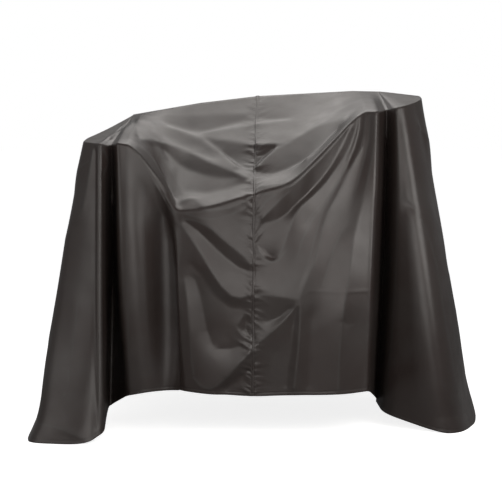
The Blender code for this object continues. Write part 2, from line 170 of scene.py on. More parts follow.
# The creases, listed one by one. They hold the cloth, which is pulled tight between them.
#   soft   how far the crease is rounded to each side
#   path   where it runs, and how far the cloth is held out there. The front's creases run through pixels of
#          the photo, across and down, the back's through x and z, and the sides' through y and z.
Crease = namedtuple("Crease", "name soft path")
FRONT_CREASES = (
    Crease("top break", 0.003, (
        (140, 116, 0.002), (165, 116, 0.003), (190, 116, 0.003), (220, 115, 0.003), (246, 114, 0.002),
    )),
    Crease("top trough", 0.004, (
        (165, 123, -0.002), (190, 130, -0.004), (205, 131, -0.005), (218, 127, -0.005),
        (236, 122, -0.004), (250, 119, -0.003),
    )),
    Crease("top ridge", 0.002, (
        (204, 134, 0.004), (225, 131, 0.006), (245, 128, 0.006), (262, 125, 0.006), (290, 121, 0.003),
    )),
    Crease("top crossing", 0.001, ((252, 118, -0.003), (270, 118, -0.007), (290, 119, 0.0))),
    Crease("upper ridge", 0.002, (
        (140, 119, 0.003), (165, 128, 0.006), (185, 134, 0.008), (204, 142, 0.009), (220, 152, 0.009),
        (237, 168, 0.007),
    )),
    Crease("between the ridges", 0.01, ((160, 136, 0.001), (190, 148, 0.002), (215, 159, 0.003))),
    Crease("roof ridge", 0.002, (
        (138, 140, 0.003), (150, 140.5, 0.007), (165, 145, 0.01), (190, 154, 0.011), (215, 166, 0.01),
        (237, 174, 0.006), (246, 178, 0.003),
    )),
    Crease("roof trough", 0.006, (
        (163, 150, 0.0), (176, 162, -0.002), (189, 170, -0.003), (203, 175, -0.003), (220, 178, -0.002),
        (236, 178, -0.001),
    )),
    Crease("wedge rim", 0.001, (
        (205, 139, 0.005), (225, 142, 0.009), (240, 144, 0.01), (253, 147, 0.01),
    )),
    Crease("wedge trough", 0.001, (
        (207, 141, 0.002), (222, 153, -0.006), (236, 162, -0.009), (250, 168, -0.009),
    )),
    Crease("left edge swell", 0.008, (
        (186, 190, -0.003), (205, 192, -0.005), (225, 188, -0.005), (243, 182, -0.004),
    )),
    Crease("left lip", 0.001, (
        (179, 206, 0.002), (183, 202, 0.006), (190, 200, 0.008), (197, 201, 0.009), (201, 206, 0.011),
        (206, 210, 0.012), (216, 210, 0.012), (229, 208, 0.012), (241, 203, 0.01), (251, 197, 0.006),
    )),
    Crease("below the left lip", 0.002, (
        (187, 214, 0.005), (198, 218, 0.008), (210, 219, 0.009), (222, 217, 0.009), (234, 213, 0.008),
        (245, 208, 0.007),
    )),
    Crease("right wedge rim", 0.001, ((256, 147, 0.013), (272, 146, 0.012), (289, 146, 0.011))),
    Crease("right wedge trough", 0.001, ((255, 162, -0.013), (263, 155, -0.01), (274, 149, 0.002))),
    Crease("tongue", 0.001, (
        (258, 167, 0.002), (267, 158, 0.006), (276, 151, 0.009), (288, 145, 0.011), (300, 139, 0.013),
        (320, 128, 0.013), (345, 119, 0.008),
    )),
    Crease("roof trough right", 0.001, (
        (258, 171, -0.01), (271, 172, -0.012), (286, 167, -0.012), (303, 158, -0.012),
        (320, 145, -0.009), (338, 128, -0.003),
    )),
    Crease("roof streak", 0.001, ((306, 158, 0.0), (320, 147, -0.003), (337, 131, -0.001))),
    Crease("right lip", 0.001, (
        (255, 192, 0.003), (262, 188, 0.009), (275, 187, 0.01), (290, 187, 0.011), (296, 181, 0.01),
        (306, 172, 0.01), (321, 158, 0.009), (336, 141, 0.007), (346, 128, 0.006), (356, 117, 0.004),
    )),
    Crease("lip line", 0.001, ((262, 218, 0.006), (275, 204, 0.006), (289, 191, 0.008))),
    Crease("left of the lip line", 0.004, (
        (258, 212, 0.004), (267, 200, 0.007), (276, 195, 0.009), (262, 194, 0.007),
    )),
    Crease("under the lip", 0.002, (
        (264, 223, -0.004), (276, 221, -0.006), (288, 213, -0.008), (297, 204, -0.008),
        (308, 194, -0.008), (321, 180, -0.006), (332, 165, -0.004), (344, 142, -0.001), (350, 128, 0.0),
    )),
    Crease("first pleat", 0.002, (
        (357, 118, 0.004), (356, 128, 0.005), (351, 145, 0.004), (344, 158, 0.003),
    )),
    Crease("inner ridge", 0.001, (
        (344, 158, 0.003), (335, 170, 0.004), (325, 184, 0.005), (312, 197, 0.005), (300, 207, 0.006),
        (294, 217, 0.006), (288, 232, 0.006), (283, 247, 0.006), (279, 256, 0.004),
    )),
    Crease("first groove", 0.003, (
        (361, 116, -0.002), (360, 130, -0.004), (355, 148, -0.004), (348, 165, -0.003),
    )),
    Crease("inner side", 0.01, (
        (341, 178, 0.001), (327, 200, 0.002), (312, 220, 0.002), (302, 240, 0.002), (297, 258, 0.003),
    )),
    Crease("light streak", 0.003, ((322, 203, 0.002), (314, 212, 0.003), (306, 222, 0.002))),
    Crease("curved crease", 0.001, (
        (256, 243, -0.004), (262, 249, -0.007), (268, 256, -0.008), (273, 258, -0.005),
    )),
    Crease("curved rim", 0.001, (
        (257, 250, 0.002), (263, 258, 0.004), (271, 262, 0.006), (279, 260, 0.006), (286, 250, 0.005),
    )),
    Crease("second pleat", 0.002, (
        (366, 114, 0.003), (364, 135, 0.004), (360, 150, 0.004), (352, 165, 0.005),
    )),
    Crease("left of the middle ridge", 0.003, (
        (347, 165, 0.002), (338, 182, 0.002), (330, 197, 0.003), (322, 212, 0.003), (318, 226, 0.004),
        (314, 241, 0.004), (310, 256, 0.006), (304, 271, 0.008), (298, 286, 0.01),
    )),
    Crease("middle ridge", 0.001, (
        (352, 165, 0.004), (343, 183, 0.005), (335, 199, 0.006), (328, 211, 0.006), (323, 225, 0.007),
        (320, 240, 0.007), (316, 255, 0.009), (310, 270, 0.011), (304, 285, 0.013), (299, 299, 0.014),
    )),
    Crease("second groove", 0.003, (
        (370, 115, -0.002), (369, 140, -0.003), (364, 160, -0.002), (357, 185, 0.001),
        (351, 207, 0.004), (346, 230, 0.005),
    )),
    Crease("middle side", 0.01, (
        (350, 215, 0.005), (341, 232, 0.005), (334, 248, 0.005), (328, 268, 0.006), (322, 286, 0.007),
    )),
    Crease("low wedge", 0.001, (
        (257, 295, 0.008), (266, 295, 0.009), (280, 297, 0.011), (299, 300, 0.014),
    )),
    Crease("under the wedge", 0.002, (
        (258, 318, -0.004), (268, 322, -0.006), (280, 317, -0.006), (291, 308, -0.001),
    )),
    Crease("low band", 0.002, (
        (258, 343, 0.003), (268, 335, 0.004), (278, 326, 0.006), (288, 316, 0.008), (297, 304, 0.012),
    )),
    Crease("left of the low line", 0.002, (
        (296, 309, 0.003), (294, 322, -0.003), (291, 350, -0.005), (286, 386, -0.005),
    )),
    Crease("low line", 0.001, (
        (300, 303, 0.014), (300, 320, 0.011), (298, 350, 0.009), (294, 388, 0.006),
    )),
    Crease("low hollow", 0.01, ((276, 350, -0.008), (272, 368, -0.009), (270, 386, -0.009))),
    Crease("low middle", 0.01, ((310, 315, -0.001), (310, 345, -0.002), (308, 386, -0.002))),
    Crease("third pleat", 0.002, ((375, 114, 0.003), (375, 140, 0.003), (372, 160, 0.005))),
    Crease("outer ridge", 0.001, (
        (372, 160, 0.005), (368, 180, 0.007), (362, 205, 0.009), (357, 222, 0.011), (353, 240, 0.013),
        (351, 262, 0.015), (347, 288, 0.017), (343, 310, 0.017), (341, 330, 0.014), (339, 360, 0.01),
        (338, 390, 0.007),
    )),
    Crease("outer side", 0.005, (
        (373, 200, 0.0), (371, 230, -0.004), (369, 262, -0.007), (368, 300, -0.008), (367, 340, -0.008),
        (366, 388, -0.007),
    )),
    Crease("short crease", 0.001, ((342, 321, 0.01), (347, 325, 0.006), (353, 325, 0.003))),
    Crease("trough edge", 0.002, (
        (186, 219, 0.003), (197, 221, 0.006), (207, 226, 0.008), (216, 233, 0.009), (226, 242, 0.009),
        (236, 250, 0.008), (244, 257, 0.007), (251, 264, 0.005),
    )),
    Crease("corner trough", 0.001, (
        (186, 222, 0.0), (197, 230, -0.004), (207, 240, -0.007), (217, 250, -0.008), (228, 260, -0.009),
        (239, 268, -0.008), (250, 272, -0.005),
    )),
    Crease("corner ridge", 0.002, (
        (181, 224, 0.004), (191, 238, 0.007), (202, 254, 0.009), (212, 272, 0.011), (221, 286, 0.012),
        (231, 296, 0.012), (240, 298, 0.011), (250, 295, 0.009),
    )),
    Crease("under the ridge", 0.004, (
        (192, 265, -0.001), (204, 278, -0.003), (215, 295, -0.005), (230, 307, -0.004),
        (246, 308, -0.003),
    )),
    Crease("upright ridge", 0.001, (
        (187, 273, 0.0), (195, 279, -0.004), (200, 295, -0.008), (203, 313, -0.011), (207, 332, -0.012),
        (212, 345, -0.008),
    )),
    Crease("left of the upright", 0.002, (
        (184, 281, 0.003), (187, 300, 0.005), (190, 330, 0.006), (192, 360, 0.006), (194, 374, 0.007),
    )),
    Crease("right of the trough", 0.005, ((226, 302, -0.003), (228, 322, -0.005), (226, 338, -0.007))),
    Crease("dent", 0.001, (
        (242, 318, -0.002), (237, 327, -0.003), (242, 337, -0.001), (250, 342, 0.001),
    )),
    Crease("dent middle", 0.002, ((246, 319, -0.009), (245, 328, -0.012), (249, 336, -0.008))),
    Crease("low lobe", 0.001, (
        (194, 377, 0.007), (201, 385, 0.014), (209, 388, 0.018), (217, 385, 0.02), (228, 375, 0.02),
        (239, 363, 0.018), (250, 352, 0.012),
    )),
    Crease("lobe top", 0.003, ((218, 349, -0.006), (230, 349, -0.005), (241, 346, -0.002))),
    Crease("below the lobe", 0.005, ((224, 389, -0.002), (238, 380, -0.006), (249, 370, -0.008))),
    Crease("long valley crease", 0.0, (
        (163, 214, -0.026), (166, 240, -0.04), (168, 270, -0.046), (169, 300, -0.048),
        (170, 330, -0.048), (171, 350, -0.044), (173, 372, -0.036), (176, 388, -0.026),
    )),
    Crease("corner flat", 0.002, (
        (176, 226, 0.0), (177, 250, 0.0), (178, 280, 0.0), (180, 320, 0.0), (182, 350, 0.0),
        (186, 386, 0.0),
    )),
    Crease("roll rim", 0.001, (
        (131, 145, 0.004), (139, 157, 0.008), (149, 173, 0.009), (162, 195, 0.008), (175, 215, 0.004),
    )),
    Crease("roll groove", 0.001, (
        (152, 147, 0.0), (160, 163, -0.006), (167, 180, -0.009), (175, 197, -0.006),
    )),
    Crease("roll strip", 0.001, (
        (143, 150, 0.011), (153, 165, 0.014), (163, 183, 0.013), (173, 203, 0.007),
    )),
    Crease("beside the groove", 0.003, (
        (157, 147, 0.003), (166, 160, 0.001), (175, 177, 0.0), (182, 194, 0.0),
    )),
    Crease("roll crest", 0.008, (
        (127, 150, 0.004), (127, 180, 0.006), (127, 220, 0.008), (127, 260, 0.008), (128, 300, 0.008),
        (129, 345, 0.006), (130, 387, 0.004),
    )),
    Crease("corner dark line", 0.001, (
        (98, 141, -0.003), (108, 134, -0.006), (118, 127, -0.006), (128, 121, -0.003),
    )),
    Crease("corner middle", 0.004, ((110, 138, 0.004), (122, 132, 0.005), (133, 124, 0.004))),
    Crease("corner right", 0.003, ((133, 116, -0.002), (137, 128, -0.004), (139, 137, -0.002))),
    Crease("seam", 0.002, (
        (254, 100, 0.0), (254, 118, -0.003), (253.5, 132, 0.003), (253, 146, 0.006), (253, 158, -0.008),
        (253, 169, -0.01), (253, 178, 0.0), (253, 190, 0.001), (253, 198, 0.0), (252.5, 215, -0.003),
        (252, 235, -0.004), (252, 250, -0.004), (252, 262, 0.001), (252, 272, -0.005),
        (252, 285, 0.006), (252, 295, 0.009), (252, 310, -0.005), (252, 325, -0.007),
        (252, 338, -0.006), (252, 351, 0.004), (252, 370, -0.005), (252, 388, -0.005),
    )),
)
LEFT_CONE_CREASES = (
    Crease("nose strip", 0.001, (
        (99.5, 146, 0.004), (99.5, 180, 0.006), (99.5, 240, 0.007), (99.5, 300, 0.007),
        (100, 350, 0.007), (101, 400, 0.006), (102, 426, 0.004),
    )),
    Crease("beside the strip", 0.002, (
        (95, 150, -0.004), (94.5, 190, -0.006), (94.5, 240, -0.007), (94.5, 300, -0.007),
        (95, 350, -0.007), (96, 400, -0.006), (97, 428, -0.004),
    )),
    Crease("nose flap", 0.001, (
        (101, 147, 0.003), (105, 156, 0.007), (107, 163, 0.01), (104, 169, 0.006), (102, 178, 0.002),
    )),
    Crease("cone strip", 0.002, ((93, 150, 0.002), (89, 180, 0.004), (84, 207, 0.005), (77, 221, 0.003))),
    Crease("below the strip", 0.004, ((90, 205, -0.001), (86, 222, -0.002), (80, 236, -0.001))),
    Crease("cone crest", 0.005, (
        (88, 250, -0.006), (87, 300, -0.007), (87, 350, -0.007), (88, 400, -0.006),
    )),
    Crease("cone shade", 0.01, ((78, 300, 0.0), (72, 350, 0.0), (66, 392, 0.001), (62, 398, 0.001))),
    Crease("floor break", 0.001, (
        (38, 424, 0.001), (50, 426, 0.003), (62, 429, 0.003), (76, 435, 0.003), (86, 441, 0.0),
    )),
    Crease("under the break", 0.002, ((60, 435, 0.001), (74, 440, 0.0), (84, 443, -0.002))),
)
RIGHT_CONE_CREASES = (
    Crease("cone edge", 0.002, (
        (397, 112, 0.002), (399, 150, 0.005), (399, 200, 0.009), (399, 250, 0.012), (397, 300, 0.013),
        (393, 350, 0.012), (387, 395, 0.008),
    )),
    Crease("crest", 0.002, (
        (407, 170, 0.001), (410, 195, 0.002), (416, 212, 0.004), (423, 226, 0.007), (429, 244, 0.009),
        (434, 264, 0.01), (438, 287, 0.01), (442, 312, 0.009), (447, 337, 0.007), (452, 364, 0.005),
        (457, 392, 0.003),
    )),
    Crease("cone line", 0.001, (
        (400, 109, 0.002), (403, 130, 0.003), (406, 155, 0.003), (409, 172, 0.002),
    )),
    Crease("cone valley", 0.001, (
        (416, 106, -0.003), (420, 120, -0.004), (425, 145, -0.004), (430, 170, -0.002), (434, 195, 0.0),
    )),
    Crease("short crease", 0.001, ((408, 204, 0.0), (412, 207, -0.002), (417, 212, 0.001))),
    Crease("cone band", 0.003, (
        (429, 208, 0.006), (436, 228, 0.008), (441, 250, 0.01), (446, 275, 0.011), (451, 305, 0.01),
        (456, 338, 0.008), (461, 370, 0.005),
    )),
    Crease("floor break", 0.001, (
        (416, 421, -0.001), (440, 418, -0.004), (458, 416, -0.005), (472, 414, -0.003),
    )),
)
BACK_CREASES = (
    Crease("left swag", 0.001, (
        (-0.34, 0.95, 0.003), (-0.22, 0.89, 0.008), (-0.10, 0.80, 0.011), (0.02, 0.73, 0.009),
    )),
    Crease("under the left swag", 0.002, (
        (-0.30, 0.90, -0.001), (-0.18, 0.83, -0.006), (-0.07, 0.74, -0.008), (0.02, 0.69, -0.006),
    )),
    Crease("second left swag", 0.002, (
        (-0.26, 0.76, 0.004), (-0.15, 0.66, 0.01), (-0.05, 0.58, 0.011), (0.02, 0.55, 0.009),
    )),
    Crease("right swag", 0.001, (
        (0.05, 0.76, 0.008), (0.16, 0.82, 0.01), (0.28, 0.91, 0.009), (0.40, 1.02, 0.004),
    )),
    Crease("under the right swag", 0.002, (
        (0.05, 0.71, -0.006), (0.17, 0.77, -0.008), (0.31, 0.89, -0.003),
    )),
    Crease("right pull", 0.001, ((0.05, 0.60, 0.01), (0.18, 0.68, 0.011), (0.34, 0.86, 0.005))),
    Crease("left upright", 0.002, ((-0.20, 0.22, 0.006), (-0.17, 0.42, 0.009), (-0.20, 0.62, 0.004))),
    Crease("beside the left upright", 0.004, (
        (-0.15, 0.22, -0.004), (-0.12, 0.40, -0.007), (-0.14, 0.58, -0.002),
    )),
    Crease("right upright", 0.002, ((0.23, 0.21, 0.006), (0.20, 0.46, 0.009), (0.25, 0.74, 0.005))),
    Crease("beside the right upright", 0.004, (
        (0.17, 0.21, -0.004), (0.15, 0.42, -0.007), (0.18, 0.60, -0.002),
    )),
    Crease("low left", 0.002, ((-0.16, 0.48, 0.003), (-0.07, 0.43, 0.008), (0.02, 0.41, 0.009))),
    Crease("low right", 0.002, ((0.05, 0.50, 0.008), (0.12, 0.45, 0.007), (0.19, 0.34, 0.001))),
    Crease("roof crease left", 0.001, (
        (-0.27, 1.10, -0.002), (-0.12, 1.06, -0.008), (0.02, 1.05, -0.009),
    )),
    Crease("above it", 0.001, ((-0.25, 1.13, 0.002), (-0.10, 1.10, 0.007), (0.02, 1.10, 0.006))),
    Crease("roof crease right", 0.001, ((0.05, 1.08, 0.006), (0.19, 1.12, 0.008), (0.34, 1.17, 0.002))),
    Crease("below it", 0.002, ((0.05, 1.03, -0.006), (0.20, 1.07, -0.007), (0.36, 1.12, -0.001))),
)
LEFT_CREASES = (
    Crease("shoulder ridge", 0.001, ((0.10, 1.00, 0.003), (0.28, 0.88, 0.009), (0.50, 0.82, 0.004))),
    Crease("shoulder trough", 0.002, ((0.16, 0.88, -0.002), (0.32, 0.79, -0.009), (0.46, 0.74, -0.004))),
    Crease("second ridge", 0.002, ((0.12, 0.74, 0.003), (0.26, 0.62, 0.008), (0.37, 0.50, 0.003))),
    Crease("rear ridge", 0.001, ((0.60, 0.86, 0.004), (0.76, 0.90, 0.01), (0.90, 0.97, 0.003))),
    Crease("rear pull", 0.001, ((0.62, 0.74, 0.004), (0.80, 0.66, 0.01), (0.98, 0.46, 0.004))),
    Crease("below the pull", 0.003, ((0.66, 0.64, -0.002), (0.80, 0.55, -0.008), (0.95, 0.38, -0.003))),
    Crease("cone dent", 0.002, ((0.22, 0.50, -0.002), (0.13, 0.30, -0.008), (0.04, 0.14, -0.003))),
    Crease("beside the dent", 0.002, ((0.17, 0.52, 0.002), (0.08, 0.32, 0.006), (0.00, 0.16, 0.003))),
)
RIGHT_CREASES = (
    Crease("shoulder ridge", 0.001, ((0.34, 1.12, 0.003), (0.48, 1.00, 0.009), (0.63, 0.93, 0.004))),
    Crease("shoulder trough", 0.002, ((0.38, 0.96, -0.002), (0.51, 0.84, -0.009), (0.61, 0.78, -0.004))),
    Crease("rear pull", 0.001, ((0.70, 0.94, 0.004), (0.85, 0.85, 0.01), (1.00, 0.64, 0.004))),
    Crease("below the pull", 0.003, ((0.74, 0.82, -0.002), (0.87, 0.72, -0.008), (1.00, 0.52, -0.003))),
    Crease("rear dent", 0.002, ((0.76, 0.66, -0.002), (0.90, 0.48, -0.008), (1.05, 0.28, -0.003))),
    Crease("cone ridge", 0.002, ((0.30, 0.62, 0.002), (0.36, 0.40, 0.008), (0.34, 0.18, 0.004))),
    Crease("beside the cone ridge", 0.004, (
        (0.40, 0.66, -0.002), (0.43, 0.42, -0.006), (0.41, 0.22, -0.003),
    )),
)

# Each side of the cover: where its creases run, which coordinate runs into it, and between which values of
# that one its creases fade in.
PHOTO, X, Y = None, 0, 1
Side = namedtuple("Side", "across into none full creases")
SIDES = (
    Side(PHOTO, Y, 0.60, 0.52, FRONT_CREASES),
    Side(PHOTO, Y, 0.24, 0.16, LEFT_CONE_CREASES),
    Side(PHOTO, Y, 0.46, 0.38, RIGHT_CONE_CREASES),
    Side(X, Y, 0.62, 0.70, BACK_CREASES),
    Side(Y, X, -0.47, -0.55, LEFT_CREASES),
    Side(Y, X, 0.47, 0.55, RIGHT_CREASES),
)

# The line that the cloth kept from lying folded in its packet, and how deep the front of the cover is.
PRESSED_LINE = Crease("pressed line", 0.004, ((310, 291, 0.0009), (339, 292.5, 0.0009), (368, 291, 0.0009)))
FRONT_DEEP = 0.3

# How the cloth is held by its creases, and how it bends between them.
#   firm    how much stronger a crease holds than the cloth pulls
#   fade    distance over which a crease's pull dies away in loose cloth
#   soft    how far any bend is rounded
HOLD_FIRM = 4.0
HOLD_WIDTH = 0.003
HOLD_REACH = 4.0
CREASE_FADE = 0.40
CLOTH_SOFT = 0.0015
PULL_MOST = 8.0
EASE_MOST = 0.24
STRETCH_ROUNDS = 300
EASE_ROUNDS = 30
TINY = 1e-4

# How far to each side of its crest a crease gets a lighter painted highlight.
CREST_HIGHLIGHT_WIDTH = 0.005

# Short folds that the sewing draws in beside the seam.
#   step    how far it is from one to the next
#   height, width, reach   of each one
#   lean    how far it slants down as it leaves the seam
#   tight   spans of height above the floor where they are strongest; elsewhere slack is their share
#   start   how far from the seam they begin
#   turn    height above the floor from which they slant up on both sides
PUCKER_STEP = (0.010, 0.022)
PUCKER_HEIGHT = (0.0022, 0.0045)
PUCKER_WIDTH = (0.0060, 0.0090)
PUCKER_REACH = (0.014, 0.040)
PUCKER_TIGHT = ((0.15, 0.27), (0.31, 0.35), (0.42, 0.56), (0.65, 0.75), (0.82, 0.88), (0.96, 1.03))
PUCKER_SLACK = 0.55
PUCKER_START = 0.004
PUCKER_TURN = 0.70
PUCKER_LEAN = (0.2, 1.1)
PUCKER_SEED = 7

# How much closer together the columns of faces stand beside the seam.
SEAM_CROWDING = 1.3

# The hem stands out a little, and its stitches draw in a groove.
HEM_BULGE = 0.0006
HEM_GROOVE = 0.0008
HEM_EDGE = 0.0018

# The surface of the nylon: how high its marks are, and how many fit in a metre.
WEAVE_HEIGHT = 0.000012
CRUMPLE_HEIGHT = 0.0007
CRUMPLES = 9.0
RIPPLE_HEIGHT = 0.00025
RIPPLES = 42.0
MOTTLES = 6.0
MOTTLED = 0.35
GLOSS_PATCHES = 14.0
NYLON_ROUGHNESS = (0.32, 0.42)
# How much rougher the crests that carry the painted highlight are.
CREST_HIGHLIGHT_ROUGHER = 0.06

# The gathers that the seam leaves in the nylon: how high, how many in a metre across and along, and how far
# from the seam they are fully there and gone.
GATHER_HEIGHT = 0.0012
GATHERS_ACROSS = 30.0
GATHERS_ALONG = 150.0
GATHERED = (0.006, 0.055)

# The dips that its stitches leave in the felled band, and the twist and fuzz of the thread.
DIP_HEIGHT = 0.0001
TWIST_HEIGHT = 0.00003
THREAD_TURNS = 3.0
FUZZ = 60.0
THREAD_ROUGHNESS = (0.55, 0.75)

# The seam wanders a little from its plane: how far, over what length, and where it starts.
Wander = namedtuple("Wander", "far length start")
WANDERS = (Wander(0.0010, 0.31, 0.7), Wander(0.0005, 0.11, 0.0))

# Across half of the seam band: share of the half width, and share of the band's thickness. The stitches run at
# the share called the stitch line, and each is sunk into the band.
BAND_PROFILE = ((1.0, -0.3), (0.86, 0.8), (0.66, 0.1), (0.48, 1.0), (0.0, 0.9))
BAND_THICKNESS = 0.0020
STITCH_LINE = 0.66
STITCH_PITCH = 0.0042
STITCH_WIDTH = 0.0006
STITCH_SIDES = 6
STITCH_RINGS = 4
STITCH_SUNK = 0.25
HEM_STITCH_PITCH = 0.0050

# The turned-up hem inside the cover, row by row: how far in, and how far up.
HEM_TURNS = ((0.0004, 0.0), (0.0010, 0.004), (0.0011, 0.013))

# The softboxes, and the place that they face.
#   turn   degrees to the right of the cover's front
#   rise   degrees above the floor
LIT_MIDDLE = (FOOT[0], FOOT[1] + 0.2, 0.75)
LIGHT_COLOUR = (1.0, 0.965, 0.93)
Softbox = namedtuple("Softbox", "name power size turn rise far")
SOFTBOXES = (
    Softbox("front softbox", "front_power", 1.6, 0.0, 14.0, 1.9),
    Softbox("left softbox", "left_power", 1.3, -60.0, 15.0, 1.9),
    Softbox("right softbox", "right_power", 1.3, 52.0, 22.0, 1.9),
    Softbox("back softbox", "back_power", 2.6, 0.0, 122.0, 2.8),
)
WHITE = (1.0, 1.0, 1.0, 1.0)
FLOOR_RADIUS = 30.0
FLOOR_ROUGHNESS = 0.6
FLOOR_SEEN = (0.8, 0.8, 0.8, 1.0)


class CoverShape(bpy.types.PropertyGroup):
    """Sizes of the seam and the hem."""

    seam_width: FloatProperty(
        name="Seam width",
        description="Width of the felled band that joins the two panels",
        default=0.016,
        unit="LENGTH",
    )
    stitch_length: FloatProperty(
        name="Stitch length",
        description="Length of thread that shows in each stitch",
        default=0.0034,
        unit="LENGTH",
    )
    hem_width: FloatProperty(
        name="Hem width",
        description="How far above the edge the hem is sewn",
        default=0.012,
        unit="LENGTH",
    )


class CoverFinish(bpy.types.PropertyGroup):
    """Colours and finish of the cloth and its thread."""

    nylon_colour: FloatVectorProperty(
        name="Nylon colour",
        description="Colour of the coated nylon",
        default=(0.028, 0.0205, 0.0185),
        subtype="COLOR",
        min=0.0,
        max=1.0,
    )
    # A lighter colour for random mottles and thread fuzz, also painted along crests as a highlight.
    mottle_and_highlight_colour: FloatVectorProperty(
        name="Mottle and highlight colour",
        description="Colour of the nylon's random mottles and of the painted highlight along its crests",
        default=(0.040, 0.037, 0.035),
        subtype="COLOR",
        min=0.0,
        max=1.0,
    )
    thread_colour: FloatVectorProperty(
        name="Thread colour",
        description="Colour of the sewing thread",
        default=(0.030, 0.028, 0.027),
        subtype="COLOR",
        min=0.0,
        max=1.0,
    )
    thread_pitch: FloatProperty(
        name="Thread pitch",
        description="From one thread of the weave to the next",
        default=0.0006,
        unit="LENGTH",
    )


class CoverStudio(bpy.types.PropertyGroup):
    """Colours and strengths of the stage."""

    floor_colour: FloatVectorProperty(
        name="Floor colour",
        description="Colour of the pale floor",
        default=(0.30, 0.30, 0.30),
        subtype="COLOR",
        min=0.0,
        max=1.0,
    )
    floor_glow: FloatProperty(
        name="Floor glow",
        description="How far the camera sees the floor lifted towards white",
        default=0.82,
        min=0.0,
    )
    dome_strength: FloatProperty(
        name="Dome strength",
        description="Brightness of the white studio low down around the cover",
        default=0.26,
        min=0.0,
    )
    ceiling_strength: FloatProperty(
        name="Ceiling strength",
        description="Brightness of the white studio straight above the cover",
        default=0.2,
        min=0.0,
    )
    front_power: FloatProperty(
        name="Front softbox",
        description="Watts of the softbox in front of the cover",
        default=14.0,
        min=0.0,
    )
    left_power: FloatProperty(
        name="Left softbox",
        description="Watts of the softbox at the left of the cover",
        default=5.5,
        min=0.0,
    )
    right_power: FloatProperty(
        name="Right softbox",
        description="Watts of the softbox at the right of the cover",
        default=16.0,
        min=0.0,
    )
    back_power: FloatProperty(
        name="Back softbox",
        description="Watts of the softbox above and behind the cover",
        default=38.0,
        min=0.0,
    )


def soft_weights(spots, soft, closed):
    """How far each control point pulls each place on a line whose corners are rounded off."""
    count = len(soft)
    weights = np.zeros((len(spots), count))
    for row, place in enumerate(spots):
        corner = int(round(place))
        reach = soft[corner % count]
        off = place - corner
        if abs(off) < reach and (closed or 0 < corner < count - 1):
            turn = (off + reach) / (2 * reach)
            weights[row, (corner - 1) % count] += reach * (1 - turn) ** 2
            weights[row, (corner + 1) % count] += reach * turn**2
            weights[row, corner % count] += 1 - reach * ((1 - turn) ** 2 + turn**2)
        else:
            before = int(np.floor(place))
            share = place - before
            weights[row, before % count] += 1 - share
            if share > 0:
                weights[row, (before + 1) % count] += share
    return weights


def ridge_points(along):
    """Points on the roof's ridge."""
    known = [r.along for r in RIDGE]
    return np.stack([np.interp(along, known, [getattr(r, axis) for r in RIDGE]) for axis in "xyz"], axis=-1)


def rails():
    """The folds' control points, as an array: fold, rail, x y z."""
    along = np.array([fold.along for fold in FOLDS])
    edge = np.array([fold.edge for fold in FOLDS])
    hem = np.array([fold.hem for fold in FOLDS])
    knee_xy = np.array([fold.knee for fold in FOLDS])
    lift = np.array([fold.lift for fold in FOLDS])
    kick = np.array([fold.kick for fold in FOLDS])
    top = ridge_points(along)
    brow = top + BROW_AT * (edge - top)
    brow[:, 2] += lift
    knee_z = hem[:, 2] + KNEE_HEIGHT * (edge[:, 2] - hem[:, 2])
    knee = np.column_stack((knee_xy, knee_z))
    outward = knee_xy - np.array(MIDDLE)
    outward /= np.linalg.norm(outward, axis=1)[:, None]
    toe = knee + TOE_AT * (hem - knee)
    toe[:, :2] -= outward * kick[:, None]
    return np.stack((top, brow, edge, knee, toe, hem), axis=1)


def spread_out(steps, crowded=()):
    """Places along a run of spans with these numbers of steps, closer together next to the crowded ends."""
    run = []
    for span, count in enumerate(steps):
        share = np.arange(count) / count
        if span in crowded:
            share = share**SEAM_CROWDING
        if (span + 1) % len(steps) in crowded:
            share = 1 - (1 - share) ** SEAM_CROWDING
        run.append(span + share)
    return np.concatenate(run)


def back_column():
    """The number of the column that runs down the back seam."""
    return sum(fold.steps for fold in FOLDS[:BACK_SEAM_FOLD])


def seen_flat(grid, across):
    """Two places of each point as its side is seen, in metres, and how many units a path has in a metre."""
    if across is not PHOTO:
        return grid[..., across], grid[..., 2], 1.0
    to_x, to_y, to_z = (grid[..., axis] - EYE[axis] for axis in range(3))
    deep = to_y * math.cos(EYE_TILT) - to_z * math.sin(EYE_TILT)
    high = to_y * math.sin(EYE_TILT) + to_z * math.cos(EYE_TILT)
    pixels = PHOTO_SIZE * LENS / SENSOR
    pixels_in_metre = pixels / -EYE[1]
    right = PHOTO_SIZE / 2 + pixels * to_x / deep
    down = PHOTO_SIZE / 2 - pixels * high / deep
    return right / pixels_in_metre, down / pixels_in_metre, pixels_in_metre


def nearest_on_path(x, z, path):
    """Distance of each point from a path, and how far out the path holds the cloth there."""
    best = np.full(x.shape, np.inf)
    out = np.zeros(x.shape)
    for start, finish in zip(path, path[1:]):
        run_x, run_z = finish[0] - start[0], finish[1] - start[1]
        off_x, off_z = x - start[0], z - start[1]
        along = np.clip((off_x * run_x + off_z * run_z) / (run_x**2 + run_z**2), 0.0, 1.0)
        far = np.hypot(off_x - along * run_x, off_z - along * run_z)
        nearer = far < best
        best[nearer] = far[nearer]
        out[nearer] = (start[2] + along * (finish[2] - start[2]))[nearer]
    return best, out


